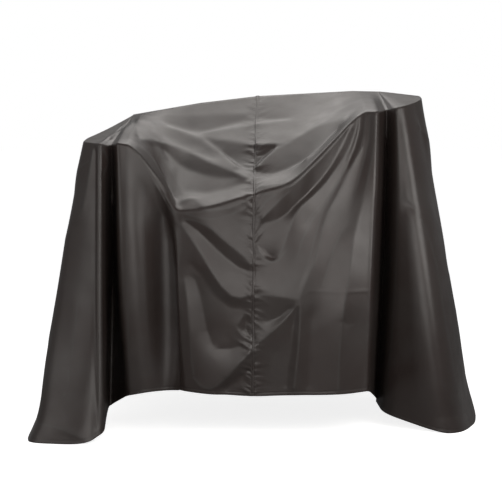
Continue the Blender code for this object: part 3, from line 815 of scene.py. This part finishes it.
def crease_holds(grid):
    """How firmly each point is held and how far out, how softly it bends, and how much painted highlight it
    gets along crests.
    """
    shape = grid.shape[:2]
    firm, out, soft, rubbed = np.zeros(shape), np.zeros(shape), np.full(shape, CLOTH_SOFT), np.zeros(shape)
    for side in SIDES:
        seen = np.clip((grid[..., side.into] - side.none) / (side.full - side.none), 0.0, 1.0)
        x, z, units = seen_flat(grid, side.across)
        for crease in side.creases:
            path = np.array(crease.path) / (units, units, 1.0)
            reach = HOLD_REACH * max(HOLD_WIDTH, crease.soft)
            low, high = path.min(axis=0) - reach, path.max(axis=0) + reach
            near = (seen > 0) & (x > low[0]) & (x < high[0]) & (z > low[1]) & (z < high[1])
            far, wanted = nearest_on_path(x[near], z[near], path)
            held = seen[near] * HOLD_FIRM * np.exp(-((far / HOLD_WIDTH) ** 2))
            firm[near] += held
            out[near] += held * wanted
            rounded = crease.soft * np.exp(-((far / (2 * max(HOLD_WIDTH, crease.soft))) ** 2))
            soft[near] = np.maximum(soft[near], rounded)
            # Creases that hold the cloth out get a lighter painted highlight along their crests.
            if path[:, 2].mean() > 0:
                rubbed[near] = np.maximum(rubbed[near], seen[near] * np.exp(-((far / CREST_HIGHLIGHT_WIDTH) ** 2)))
    return firm, out, soft, rubbed


def pressed_height(grid):
    """How far the line pressed into the front of the cloth stands out."""
    x, z, units = seen_flat(grid, PHOTO)
    far, out = nearest_on_path(x, z, np.array(PRESSED_LINE.path) / (units, units, 1.0))
    return np.where(grid[..., Y] < FRONT_DEEP, out, 0.0) * np.exp(-((far / PRESSED_LINE.soft) ** 2))


def stretched(grid, firm, out):
    """How far out each point is when the cloth is pulled tight over its creases, by conjugate gradients."""
    wide = np.linalg.norm(np.roll(grid, -1, axis=0) - grid, axis=2)
    tall = np.linalg.norm(np.diff(grid, axis=1), axis=2)
    tall_round = np.pad(tall, ((0, 0), (0, 1)), mode="edge")
    pull_round = np.clip(tall_round / np.maximum(wide, TINY), 0.0, PULL_MOST)
    pull_down = np.clip((wide[:, 1:] + wide[:, :-1]) / 2 / np.maximum(tall, TINY), 0.0, PULL_MOST)
    firm = firm + wide * tall_round / CREASE_FADE**2
    firm[:, 0] += HOLD_FIRM

    def force(height):
        round_it = pull_round * (np.roll(height, -1, axis=0) - height)
        down_it = pull_down * np.diff(height, axis=1)
        total = firm * height - round_it + np.roll(round_it, 1, axis=0)
        total[:, :-1] -= down_it
        total[:, 1:] += down_it
        return total

    scale = firm + pull_round + np.roll(pull_round, 1, axis=0)
    scale[:, :-1] += pull_down
    scale[:, 1:] += pull_down
    height = np.zeros(firm.shape)
    left = out - force(height)
    aim = left / scale
    size = np.sum(left * aim)
    for _ in range(STRETCH_ROUNDS):
        push = force(aim)
        share = size / np.sum(aim * push)
        height += share * aim
        left -= share * push
        ready = left / scale
        before, size = size, np.sum(left * ready)
        aim = ready + size / before * aim
    return height


def eased(height, grid, soft):
    """The height rounded off over the distance that the cloth bends softly over at each point."""
    cell = np.linalg.norm(np.diff(grid, axis=1), axis=2).mean()
    rate = np.minimum(soft**2 / (2 * EASE_ROUNDS * cell**2), EASE_MOST)
    for _ in range(EASE_ROUNDS):
        above = np.pad(height, ((0, 0), (1, 1)), mode="edge")
        beside = np.roll(height, 1, axis=0) + np.roll(height, -1, axis=0)
        height = height + rate * (beside + above[:, 2:] + above[:, :-2] - 4 * height)
    return height


def outward_normals(grid):
    """Unit normals of the grid, facing out of the cover."""
    round_it = np.roll(grid, -1, axis=0) - np.roll(grid, 1, axis=0)
    down_it = np.gradient(grid, axis=1)
    normals = np.cross(round_it, down_it)
    normals /= np.maximum(np.linalg.norm(normals, axis=2), 1e-9)[..., None]
    return normals


def cloth_distances(grid):
    """Metres along the cloth: across from the nearer seam, and down from the ridge."""
    ring = np.concatenate((grid, grid[:1]))
    round_it = np.cumsum(np.linalg.norm(np.diff(ring, axis=0), axis=2), axis=0)
    round_it = np.concatenate((np.zeros((1, grid.shape[1])), round_it))
    from_front = np.minimum(round_it, round_it[-1] - round_it)[:-1]
    from_back = np.abs(round_it - round_it[back_column()])[:-1]
    falls = np.cumsum(np.linalg.norm(np.diff(grid, axis=1), axis=2), axis=1)
    down = np.concatenate((np.zeros((len(grid), 1)), falls), axis=1)
    return np.minimum(from_front, from_back), down


def pucker_height(grid, across, down):
    """How far the sewing's small folds raise each point, on the four strips beside the seams."""
    chance = np.random.default_rng(PUCKER_SEED)
    raised = np.zeros(across.shape)
    back = back_column()
    strips = (
        (0, slice(0, FOLDS[0].steps), -1),
        (0, slice(len(grid) - FOLDS[-1].steps, len(grid)), 1),
        (back, slice(back - FOLDS[BACK_SEAM_FOLD - 1].steps, back), -1),
        (back, slice(back, back + FOLDS[BACK_SEAM_FOLD].steps), 1),
    )
    for seam, strip, side in strips:
        far, fall = across[strip], down[strip]
        place = down[seam, 0] + PUCKER_REACH[1]
        while place < down[seam, -1]:
            place += chance.uniform(*PUCKER_STEP)
            height, width = chance.uniform(*PUCKER_HEIGHT), chance.uniform(*PUCKER_WIDTH)
            reach, lean = chance.uniform(*PUCKER_REACH), chance.uniform(*PUCKER_LEAN)
            above_floor = np.interp(place, down[seam], grid[seam, :, 2])
            if not any(low < above_floor < high for low, high in PUCKER_TIGHT):
                height *= PUCKER_SLACK
            if side < 0 or above_floor > PUCKER_TURN:
                lean = -lean
            shape = np.exp(-(((fall - place - lean * far) / width) ** 2) - (far / reach) ** 2)
            raised[strip] += height * shape * (1 - np.exp(-((far / PUCKER_START) ** 2)))
    return raised


def drawn_to_seam(grid, down):
    """The grid with its seam columns moved onto the seam's plane, and their neighbours with them."""
    back = back_column()
    shares = np.zeros(len(grid))
    moved = grid.copy()
    for seam, before, after in (
        (0, FOLDS[-1].steps, FOLDS[0].steps),
        (back, FOLDS[BACK_SEAM_FOLD - 1].steps, FOLDS[BACK_SEAM_FOLD].steps),
    ):
        wanted = SEAM_X + SEAM_LEAN_Y * grid[seam, :, 1] + SEAM_LEAN_Z * grid[seam, :, 2]
        for wander in WANDERS:
            turns = 2 * math.pi * down[seam] / wander.length
            wanted += wander.far * (np.sin(turns + wander.start) - math.sin(wander.start))
        shares[:] = 0.0
        shares[seam] = 1.0
        offsets = np.arange(1, after)
        shares[seam + offsets] = (1 - offsets / after) ** 2
        offsets = np.arange(1, before)
        shares[seam - offsets] = (1 - offsets / before) ** 2
        moved[..., 0] += shares[:, None] * (wanted - grid[seam, :, 0])
    return moved


@functools.cache
def cloth():
    """The cloth's outer face as a grid (column round it, row down it, x y z), and what is known there."""
    columns = spread_out([fold.steps for fold in FOLDS], crowded=(0, BACK_SEAM_FOLD))
    rows = np.append(spread_out(RAIL_STEPS), float(len(RAIL_STEPS)))
    round_it = soft_weights(columns, [fold.soft for fold in FOLDS], closed=True)
    down_it = soft_weights(rows, RAIL_SOFT, closed=False)
    grid = np.einsum("cf,rk,fkx->crx", round_it, down_it, rails())
    along = [fold.along for fold in FOLDS] + [FOLDS[0].along]
    grid[:, 0] = ridge_points(np.interp(columns, range(len(along)), along))

    # The last of these marks where a painted highlight runs along crests.
    firm, out, soft, rubbed = crease_holds(grid)
    raised = eased(stretched(grid, firm, out), grid, soft)
    grid[:, 1:] += outward_normals(grid)[:, 1:] * raised[:, 1:, None]
    across, down = cloth_distances(grid)
    raised = pucker_height(grid, across, down)
    raised += pressed_height(grid)
    above_stitches = (down[:, -1:] - down - bpy.context.scene.cover_shape.hem_width) / HEM_EDGE
    raised += HEM_BULGE / (1 + np.exp(np.clip(above_stitches, -30.0, 30.0)))
    raised -= HEM_GROOVE * np.exp(-(above_stitches**2))
    grid[:, 1:] += outward_normals(grid)[:, 1:] * raised[:, 1:, None]
    grid = drawn_to_seam(grid, down)
    grid += np.array((*FOOT, 0.0))
    grid[..., 2] = np.maximum(grid[..., 2], 0.0)
    return grid, across, down, rubbed


def linked_object(name, mesh, material):
    """An object of this mesh and material in the scene, smooth."""
    mesh.materials.append(material)
    mesh.shade_smooth()
    made = bpy.data.objects.new(name, mesh)
    bpy.context.scene.collection.objects.link(made)
    return made


def strip_mesh(name, grid, flat):
    """An open sheet of quads on the grid, with its flat coordinates as its UV map, facing out."""
    columns, rows, _ = grid.shape
    numbers = np.arange(columns * rows).reshape(columns, rows)
    here, after = numbers[:-1], numbers[1:]
    faces = np.stack((here[:, :-1], after[:, :-1], after[:, 1:], here[:, 1:]), axis=-1).reshape(-1, 4)
    mesh = bpy.data.meshes.new(name)
    mesh.from_pydata(grid.reshape(-1, 3), [], faces)
    layer = mesh.uv_layers.new(name="flat")
    layer.data.foreach_set("uv", flat.reshape(-1, 2)[faces.ravel()].astype(np.float32).ravel())
    return mesh


def merged(mesh):
    """Merge the points that meet, such as those along the ridge."""
    bm = bmesh.new()
    bm.from_mesh(mesh)
    bmesh.ops.remove_doubles(bm, verts=bm.verts, dist=MERGE_WITHIN)
    bm.to_mesh(mesh)
    bm.free()


def turned_hem(grid, normals):
    """Rows inside the cover where the hem is turned up."""
    hem = grid[:, -1]
    rise = grid[:, -4] - hem
    rise /= np.linalg.norm(rise, axis=1)[:, None]
    inward = -normals[:, -1]
    turned = [hem + inward * deep + rise * high for deep, high in HEM_TURNS]
    turned = np.stack(turned, axis=1)
    turned[..., 2] = np.maximum(turned[..., 2], 0.0)
    return turned


def unit(vectors):
    """The vectors at a length of 1."""
    return vectors / np.maximum(np.linalg.norm(vectors, axis=-1), 1e-9)[..., None]


def path_frames(points, normals):
    """Directions at each point of a path: along it, across it and out from the cloth."""
    onward = unit(np.gradient(points, axis=0))
    aside = unit(np.cross(onward, normals))
    return onward, aside, np.cross(aside, onward)


def spaced(points, normals, pitch):
    """Points and normals at even steps along a path."""
    lengths = np.linalg.norm(np.diff(points, axis=0), axis=1)
    passed = np.concatenate(([0.0], np.cumsum(lengths)))
    wanted = np.arange(pitch / 2, passed[-1], pitch)
    at = [np.interp(wanted, passed, points[:, axis]) for axis in range(3)]
    facing = [np.interp(wanted, passed, normals[:, axis]) for axis in range(3)]
    return np.stack(at, axis=1), unit(np.stack(facing, axis=1))


def at_fall(known, down, wanted):
    """What is known on each column at this distance down it."""
    found = np.empty((len(known), 3))
    for row, (fall, falls, column) in enumerate(zip(wanted, down, known)):
        found[row] = [np.interp(fall, falls, column[:, axis]) for axis in range(3)]
    return found


def seam_path():
    """Points and normals along the seam, from the front hem over the ridge to the back hem."""
    grid = cloth()[0]
    normals = outward_normals(grid)
    back = back_column()
    points = np.concatenate((grid[0, ::-1], grid[back, 1:]))
    facing = np.concatenate((normals[0, ::-1], normals[back, 1:]))
    facing[len(grid[0]) - 1] = normals[0, 0] + normals[back, 0]
    even = facing.copy()
    even[2:-2] = sum(facing[2 + shift : len(facing) - 2 + shift] for shift in range(-2, 3))
    return points, unit(even)


def stitch(length):
    """One stitch, its length along Z, as points, faces and UV."""
    bpy.ops.object.select_all(action="DESELECT")
    bpy.ops.mesh.primitive_uv_sphere_add(segments=STITCH_SIDES, ring_count=STITCH_RINGS, radius=0.5)
    bpy.ops.object.mode_set(mode="EDIT")
    bpy.ops.mesh.select_all(action="SELECT")
    bpy.ops.transform.resize(value=(STITCH_WIDTH, STITCH_WIDTH, length))
    bpy.ops.object.mode_set(mode="OBJECT")
    mesh = bpy.context.object.data
    points = np.array([vert.co[:] for vert in mesh.vertices])
    faces = [tuple(face.vertices) for face in mesh.polygons]
    flat = np.array([corner.uv[:] for corner in mesh.uv_layers.active.data])
    bpy.data.objects.remove(bpy.context.object)
    return points, faces, flat


def stitch_rows(name, runs, length, material):
    """Rows of stitches along runs of points, each with the direction across it and out from it."""
    one, faces, flat = stitch(length)
    all_points = []
    for points, normals in runs:
        onward, aside, out = path_frames(points, normals)
        axes = np.stack((out, aside, onward), axis=1)
        all_points.append(points[:, None] + np.einsum("vk,nkx->nvx", one, axes))
    all_points = np.concatenate(all_points)
    count = len(all_points)
    all_faces = []
    for first in range(0, count * len(one), len(one)):
        all_faces.extend(tuple(first + corner for corner in face) for face in faces)
    mesh = bpy.data.meshes.new(name)
    mesh.from_pydata(all_points.reshape(-1, 3), [], all_faces)
    layer = mesh.uv_layers.new(name="stitch")
    layer.data.foreach_set("uv", np.tile(flat, (count, 1)).astype(np.float32).ravel())
    return linked_object(name, mesh, material)


def add_node(tree, kind, inputs=None, **settings):
    """A node with its settings, and its inputs set to values or linked to sockets."""
    made = tree.nodes.new(kind)
    for name, value in settings.items():
        setattr(made, name, value)
    for name, value in (inputs or {}).items():
        if isinstance(value, bpy.types.NodeSocket):
            tree.links.new(value, made.inputs[name])
        else:
            made.inputs[name].default_value = value
    return made


def math_node(tree, operation, *values):
    """The output of a Math node on these values or sockets."""
    return add_node(tree, "ShaderNodeMath", dict(enumerate(values)), operation=operation).outputs[0]


def spread(tree, value, low, high, new_low, new_high):
    """A value mapped from one span to another."""
    inputs = {"Value": value, "From Min": low, "From Max": high, "To Min": new_low, "To Max": new_high}
    return add_node(tree, "ShaderNodeMapRange", inputs).outputs["Result"]


def noise(tree, vector, scale, detail, kind="FBM"):
    """The value of a Noise Texture node, about 0.5 in the middle."""
    inputs = {"Vector": vector, "Scale": scale, "Detail": detail}
    return add_node(tree, "ShaderNodeTexNoise", inputs, noise_type=kind).outputs["Fac"]


def new_group(name, takes, gives):
    """A shader node group with these sockets, and its two end nodes."""
    group = bpy.data.node_groups.new(name, "ShaderNodeTree")
    for label, kind, default in takes:
        socket = group.interface.new_socket(name=label, in_out="INPUT", socket_type=kind)
        if default is not None:
            socket.default_value = default
    for label, kind in gives:
        group.interface.new_socket(name=label, in_out="OUTPUT", socket_type=kind)
    return group, group.nodes.new("NodeGroupInput"), group.nodes.new("NodeGroupOutput")


def woven_cloth():
    """A group for coated woven cloth: a fine weave, soft crumples, mottled colour, a lighter painted highlight
    along crests and uneven gloss.
    """
    known = bpy.data.node_groups.get("woven cloth")
    if known:
        return known
    takes = (
        ("Place", "NodeSocketVector", None),
        ("Flat", "NodeSocketVector", None),
        ("Rubbed", "NodeSocketFloat", 0.0),
        ("Thread Pitch", "NodeSocketFloat", 0.0006),
        ("Colour", "NodeSocketColor", (0.045, 0.040, 0.037, 1.0)),
        ("Rubbed Colour", "NodeSocketColor", (0.070, 0.064, 0.060, 1.0)),
    )
    gives = (("Colour", "NodeSocketColor"), ("Roughness", "NodeSocketFloat"), ("Height", "NodeSocketFloat"))
    group, given, result = new_group("woven cloth", takes, gives)
    place, flat = given.outputs["Place"], given.outputs["Flat"]

    apart = add_node(group, "ShaderNodeSeparateXYZ", {"Vector": flat})
    turns = math_node(group, "DIVIDE", math.pi, given.outputs["Thread Pitch"])
    warp = math_node(group, "SINE", math_node(group, "MULTIPLY", apart.outputs["X"], turns))
    weft = math_node(group, "SINE", math_node(group, "MULTIPLY", apart.outputs["Y"], turns))
    weave = math_node(group, "MULTIPLY", math_node(group, "MULTIPLY", warp, weft), WEAVE_HEIGHT)

    crumple = noise(group, place, CRUMPLES, 3.0, "RIDGED_MULTIFRACTAL")
    crumple = math_node(group, "MULTIPLY", crumple, CRUMPLE_HEIGHT)
    ripple = math_node(group, "MULTIPLY", noise(group, place, RIPPLES, 2.0), RIPPLE_HEIGHT)
    height = math_node(group, "ADD", math_node(group, "ADD", crumple, ripple), weave)

    mottle = spread(group, noise(group, place, MOTTLES, 4.0), 0.42, 0.62, 0.0, MOTTLED)
    # The colour leans to the lighter colour in random mottles and, as a painted highlight, along crests.
    lighter = math_node(group, "MAXIMUM", mottle, given.outputs["Rubbed"])
    mixed = add_node(
        group,
        "ShaderNodeMix",
        {0: lighter, 6: given.outputs["Colour"], 7: given.outputs["Rubbed Colour"]},
        data_type="RGBA",
    )
    gloss = spread(group, noise(group, place, GLOSS_PATCHES, 3.0), 0.3, 0.7, *NYLON_ROUGHNESS)
    # Crests that carry the painted highlight are also a little rougher.
    dulled = math_node(group, "MULTIPLY", given.outputs["Rubbed"], CREST_HIGHLIGHT_ROUGHER)
    group.links.new(mixed.outputs[2], result.inputs["Colour"])
    group.links.new(math_node(group, "ADD", gloss, dulled), result.inputs["Roughness"])
    group.links.new(height, result.inputs["Height"])
    return group


def blank_material(name):
    """A material with its node tree and its Principled shader."""
    material = bpy.data.materials.new(name)
    material.use_nodes = True
    return material, material.node_tree, material.node_tree.nodes["Principled BSDF"]


def dress(tree, shader, colour, roughness, height):
    """Link colour, roughness and a height in metres to the shader."""
    bump = add_node(tree, "ShaderNodeBump", {"Height": height, "Distance": 1.0, "Strength": 1.0})
    tree.links.new(colour, shader.inputs["Base Color"])
    tree.links.new(roughness, shader.inputs["Roughness"])
    tree.links.new(bump.outputs["Normal"], shader.inputs["Normal"])


def cloth_node(tree, finish, flat, rubbed):
    """The woven cloth group with this finish."""
    inputs = {
        "Place": add_node(tree, "ShaderNodeTexCoord").outputs["Object"],
        "Flat": flat,
        "Rubbed": rubbed,
        "Thread Pitch": finish.thread_pitch,
        "Colour": (*finish.nylon_colour, 1.0),
        "Rubbed Colour": (*finish.mottle_and_highlight_colour, 1.0),
    }
    made = tree.nodes.new("ShaderNodeGroup")
    made.node_tree = woven_cloth()
    for name, value in inputs.items():
        if isinstance(value, bpy.types.NodeSocket):
            tree.links.new(value, made.inputs[name])
        else:
            made.inputs[name].default_value = value
    return made


def nylon(finish):
    """Dark coated nylon with a lighter painted highlight along its crests, gathered a little beside the seam.
    """
    material, tree, shader = blank_material("nylon")
    flat = add_node(tree, "ShaderNodeUVMap", uv_map="flat").outputs["UV"]
    # The painted highlight along crests is read from a point attribute.
    rubbed = add_node(tree, "ShaderNodeAttribute", attribute_name="rubbed").outputs["Fac"]
    cloth_look = cloth_node(tree, finish, flat, spread(tree, rubbed, 0.2, 1.0, 0.0, 0.6))
    apart = add_node(tree, "ShaderNodeSeparateXYZ", {"Vector": flat})
    across = math_node(tree, "MULTIPLY", apart.outputs["X"], GATHERS_ACROSS)
    along = math_node(tree, "MULTIPLY", apart.outputs["Y"], GATHERS_ALONG)
    narrow = add_node(tree, "ShaderNodeCombineXYZ", {"X": across, "Y": along}).outputs["Vector"]
    near = math_node(tree, "POWER", spread(tree, apart.outputs["X"], *GATHERED, 1.0, 0.0), 2.0)
    gathers = math_node(tree, "MULTIPLY", noise(tree, narrow, 1.0, 2.0), near)
    gathers = math_node(tree, "MULTIPLY", gathers, GATHER_HEIGHT)
    height = math_node(tree, "ADD", gathers, cloth_look.outputs["Height"])
    dress(tree, shader, cloth_look.outputs["Colour"], cloth_look.outputs["Roughness"], height)
    return material


def seam_nylon(finish):
    """The nylon of the felled band, darker where its stitches sink in."""
    material, tree, shader = blank_material("seam nylon")
    flat = add_node(tree, "ShaderNodeUVMap", uv_map="flat").outputs["UV"]
    cloth_look = cloth_node(tree, finish, flat, 0.0)
    apart = add_node(tree, "ShaderNodeSeparateXYZ", {"Vector": flat})
    along = math_node(tree, "MULTIPLY", apart.outputs["Y"], 2 * math.pi / STITCH_PITCH)
    dips = math_node(tree, "MULTIPLY", math_node(tree, "SINE", along), DIP_HEIGHT)
    height = math_node(tree, "ADD", dips, cloth_look.outputs["Height"])
    dress(tree, shader, cloth_look.outputs["Colour"], cloth_look.outputs["Roughness"], height)
    return material


def thread(finish):
    """Twisted sewing thread."""
    material, tree, shader = blank_material("thread")
    around = add_node(tree, "ShaderNodeUVMap", uv_map="stitch").outputs["UV"]
    apart = add_node(tree, "ShaderNodeSeparateXYZ", {"Vector": around})
    along = math_node(tree, "MULTIPLY", apart.outputs["Y"], THREAD_TURNS)
    turns = math_node(tree, "ADD", apart.outputs["X"], along)
    twist = math_node(tree, "SINE", math_node(tree, "MULTIPLY", turns, 4 * math.pi))
    height = math_node(tree, "MULTIPLY", twist, TWIST_HEIGHT)
    place = add_node(tree, "ShaderNodeTexCoord").outputs["Object"]
    fuzz = noise(tree, place, FUZZ, 2.0)
    tint = add_node(
        tree,
        "ShaderNodeMix",
        {0: fuzz, 6: (*finish.thread_colour, 1.0), 7: (*finish.mottle_and_highlight_colour, 1.0)},
        data_type="RGBA",
    )
    dress(tree, shader, tint.outputs[2], spread(tree, fuzz, 0.3, 0.7, *THREAD_ROUGHNESS), height)
    return material


class BuildPanels(bpy.types.Operator):
    """Build the two panels of cloth."""

    bl_idname = "drum_cover.panels"
    bl_label = "Panels"

    def execute(self, context):
        grid, across, down, rubbed = cloth()
        turned = turned_hem(grid, outward_normals(grid))
        whole = np.concatenate((grid, turned), axis=1)
        extra = np.array([high for _, high in HEM_TURNS])
        down = np.concatenate((down, down[:, -1:] + extra), axis=1)
        across = np.concatenate((across, np.repeat(across[:, -1:], len(extra), axis=1)), axis=1)
        rubbed = np.concatenate((rubbed, np.repeat(rubbed[:, -1:], len(extra), axis=1)), axis=1)
        known = np.concatenate((whole, np.stack((across, down, rubbed), axis=2)), axis=2)
        known = np.concatenate((known, known[:1]))
        back = back_column()
        material = nylon(context.scene.cover_finish)
        for name, part, node in (
            ("left_panel_cloth", known[: back + 1], "panel_left"),
            ("right_panel_cloth", known[back:], "panel_right"),
        ):
            mesh = strip_mesh(name, part[..., :3], part[..., 3:5])
            # This point attribute marks where a lighter highlight is painted along crests.
            mesh.attributes.new("rubbed", "FLOAT", "POINT").data.foreach_set("value", part[..., 5].ravel())
            merged(mesh)
            panel = linked_object(name, mesh, material)
            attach(panel, "root")
            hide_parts(node)
        return {"FINISHED"}


class BuildSeam(bpy.types.Operator):
    """Build the felled seam and its two rows of stitches."""

    bl_idname = "drum_cover.seam"
    bl_label = "Seam"

    def execute(self, context):
        shape, finish = context.scene.cover_shape, context.scene.cover_finish
        points, normals = seam_path()
        onward, aside, out = path_frames(points, normals)
        half = shape.seam_width / 2
        profile = [(-share, high) for share, high in BAND_PROFILE] + list(BAND_PROFILE[-2::-1])
        rows = [points + aside * share * half + out * high * BAND_THICKNESS for share, high in profile]
        passed = np.concatenate(([0.0], np.cumsum(np.linalg.norm(np.diff(points, axis=0), axis=1))))
        flat = [np.column_stack((np.full(len(points), share * half), passed)) for share, _ in profile]
        mesh = strip_mesh("seam_band", np.stack(rows), np.stack(flat))
        band = linked_object("seam_band", mesh, seam_nylon(finish))

        at, facing = spaced(points, normals, STITCH_PITCH)
        onward, aside, out = path_frames(at, facing)
        raised = at + out * BAND_THICKNESS * STITCH_SUNK
        runs = [(raised + aside * side * STITCH_LINE * half, facing) for side in (-1, 1)]
        stitches = stitch_rows("seam_stitches", runs, shape.stitch_length, thread(finish))
        for piece in (band, stitches):
            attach(piece, "root")
        return {"FINISHED"}


class BuildHem(bpy.types.Operator):
    """Build the stitches of the hem."""

    bl_idname = "drum_cover.hem"
    bl_label = "Hem"

    def execute(self, context):
        shape = context.scene.cover_shape
        grid, _, down, _ = cloth()
        sewn = down[:, -1] - shape.hem_width
        line = at_fall(grid, down, sewn)
        facing = unit(at_fall(outward_normals(grid), down, sewn))
        back = back_column()
        material = thread(context.scene.cover_finish)
        for name, panel, run in (
            ("left_hem_stitches", "left_panel_cloth", slice(0, back + 1)),
            ("right_hem_stitches", "right_panel_cloth", slice(back, None)),
        ):
            runs = [spaced(line[run], facing[run], HEM_STITCH_PITCH)]
            stitches = stitch_rows(name, runs, shape.stitch_length, material)
            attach(stitches, "root")
        return {"FINISHED"}


class BuildStage(bpy.types.Operator):
    """Build the floor, the lights and the camera."""

    bl_idname = "drum_cover.stage"
    bl_label = "Stage"

    def execute(self, context):
        studio = context.scene.cover_studio
        bpy.ops.object.select_all(action="DESELECT")
        bpy.ops.mesh.primitive_circle_add(vertices=96, radius=FLOOR_RADIUS, fill_type="NGON")
        floor = context.object
        floor.name = "studio_floor"
        material, tree, shader = blank_material("pale floor")
        seen = add_node(tree, "ShaderNodeLightPath").outputs["Is Camera Ray"]
        colour = add_node(tree, "ShaderNodeMix", data_type="RGBA")
        tree.links.new(seen, colour.inputs["Factor"])
        colour.inputs["A"].default_value = (*studio.floor_colour, 1.0)
        colour.inputs["B"].default_value = FLOOR_SEEN
        tree.links.new(colour.outputs["Result"], shader.inputs["Base Color"])
        shader.inputs["Roughness"].default_value = FLOOR_ROUGHNESS
        shader.inputs["Emission Color"].default_value = WHITE
        glow = math_node(tree, "MULTIPLY", seen, studio.floor_glow)
        tree.links.new(glow, shader.inputs["Emission Strength"])
        floor.data.materials.append(material)

        context.scene.world = white_studio(studio)
        context.scene.view_settings.view_transform = "Standard"
        for box in SOFTBOXES:
            place_softbox(context.scene, box, getattr(studio, box.power))

        camera = bpy.data.cameras.new("camera")
        camera.lens = LENS
        camera.sensor_width = SENSOR
        viewer = bpy.data.objects.new("camera", camera)
        viewer.location = (FOOT[0] + EYE[0], FOOT[1] + EYE[1], EYE[2])
        viewer.rotation_euler = (math.pi / 2 - EYE_TILT, 0.0, 0.0)
        context.scene.collection.objects.link(viewer)
        context.scene.camera = viewer
        return {"FINISHED"}


def place_softbox(scene, box, power):
    """A round softbox that faces the cover."""
    lamp = bpy.data.lights.new(box.name, "AREA")
    lamp.shape = "DISK"
    lamp.size = box.size
    lamp.energy = power
    lamp.color = LIGHT_COLOUR
    turn, rise = math.radians(box.turn), math.radians(box.rise)
    holder = bpy.data.objects.new(box.name, lamp)
    holder.location = (
        LIT_MIDDLE[0] + box.far * math.sin(turn) * math.cos(rise),
        LIT_MIDDLE[1] - box.far * math.cos(turn) * math.cos(rise),
        LIT_MIDDLE[2] + box.far * math.sin(rise),
    )
    holder.rotation_euler = (math.pi / 2 - rise, 0.0, turn)
    holder.visible_camera = False
    scene.collection.objects.link(holder)


def white_studio(studio):
    """A white studio that lights the cover softly, and that the camera sees as plain white."""
    world = bpy.data.worlds.new("studio")
    world.use_nodes = True
    tree = world.node_tree
    direction = add_node(tree, "ShaderNodeTexCoord").outputs["Generated"]
    height = add_node(tree, "ShaderNodeSeparateXYZ", {"Vector": direction}).outputs["Z"]
    up = math_node(tree, "POWER", math_node(tree, "MAXIMUM", height, 0.0), 2.0)
    lit = spread(tree, up, 0.0, 1.0, studio.dome_strength, studio.ceiling_strength)
    seen = add_node(tree, "ShaderNodeLightPath").outputs["Is Camera Ray"]
    strength = add_node(tree, "ShaderNodeMix", {0: seen, 2: lit, 3: 1.0}).outputs[0]
    background = tree.nodes["Background"]
    background.inputs["Color"].default_value = WHITE
    tree.links.new(strength, background.inputs["Strength"])
    return world


class CoverPanel(bpy.types.Panel):
    """Lists the pieces and the stage."""

    bl_idname = "VIEW3D_PT_drum_cover"
    bl_label = "Drum set cover"
    bl_space_type = "VIEW_3D"
    bl_region_type = "UI"
    bl_category = "Drum Cover"

    def draw(self, context):
        for operator in OPERATORS:
            self.layout.operator(operator.bl_idname)


OPERATORS = (BuildPanels, BuildSeam, BuildHem, BuildStage)
GROUPS = (CoverShape, CoverFinish, CoverStudio)


def register():
    """Make the sizes, operators and panel known to Blender."""
    for cls in (*GROUPS, *OPERATORS, CoverPanel):
        bpy.utils.register_class(cls)
    bpy.types.Scene.cover_shape = PointerProperty(type=CoverShape)
    bpy.types.Scene.cover_finish = PointerProperty(type=CoverFinish)
    bpy.types.Scene.cover_studio = PointerProperty(type=CoverStudio)


def unregister():
    """Take them away again."""
    del bpy.types.Scene.cover_studio
    del bpy.types.Scene.cover_finish
    del bpy.types.Scene.cover_shape
    for cls in reversed((*GROUPS, *OPERATORS, CoverPanel)):
        bpy.utils.unregister_class(cls)


def main():
    """Build the cover and its stage."""
    register()
    bpy.ops.drum_cover.panels()
    bpy.ops.drum_cover.seam()
    bpy.ops.drum_cover.hem()
    bpy.ops.drum_cover.stage()


if __name__ == "__main__":
    main()
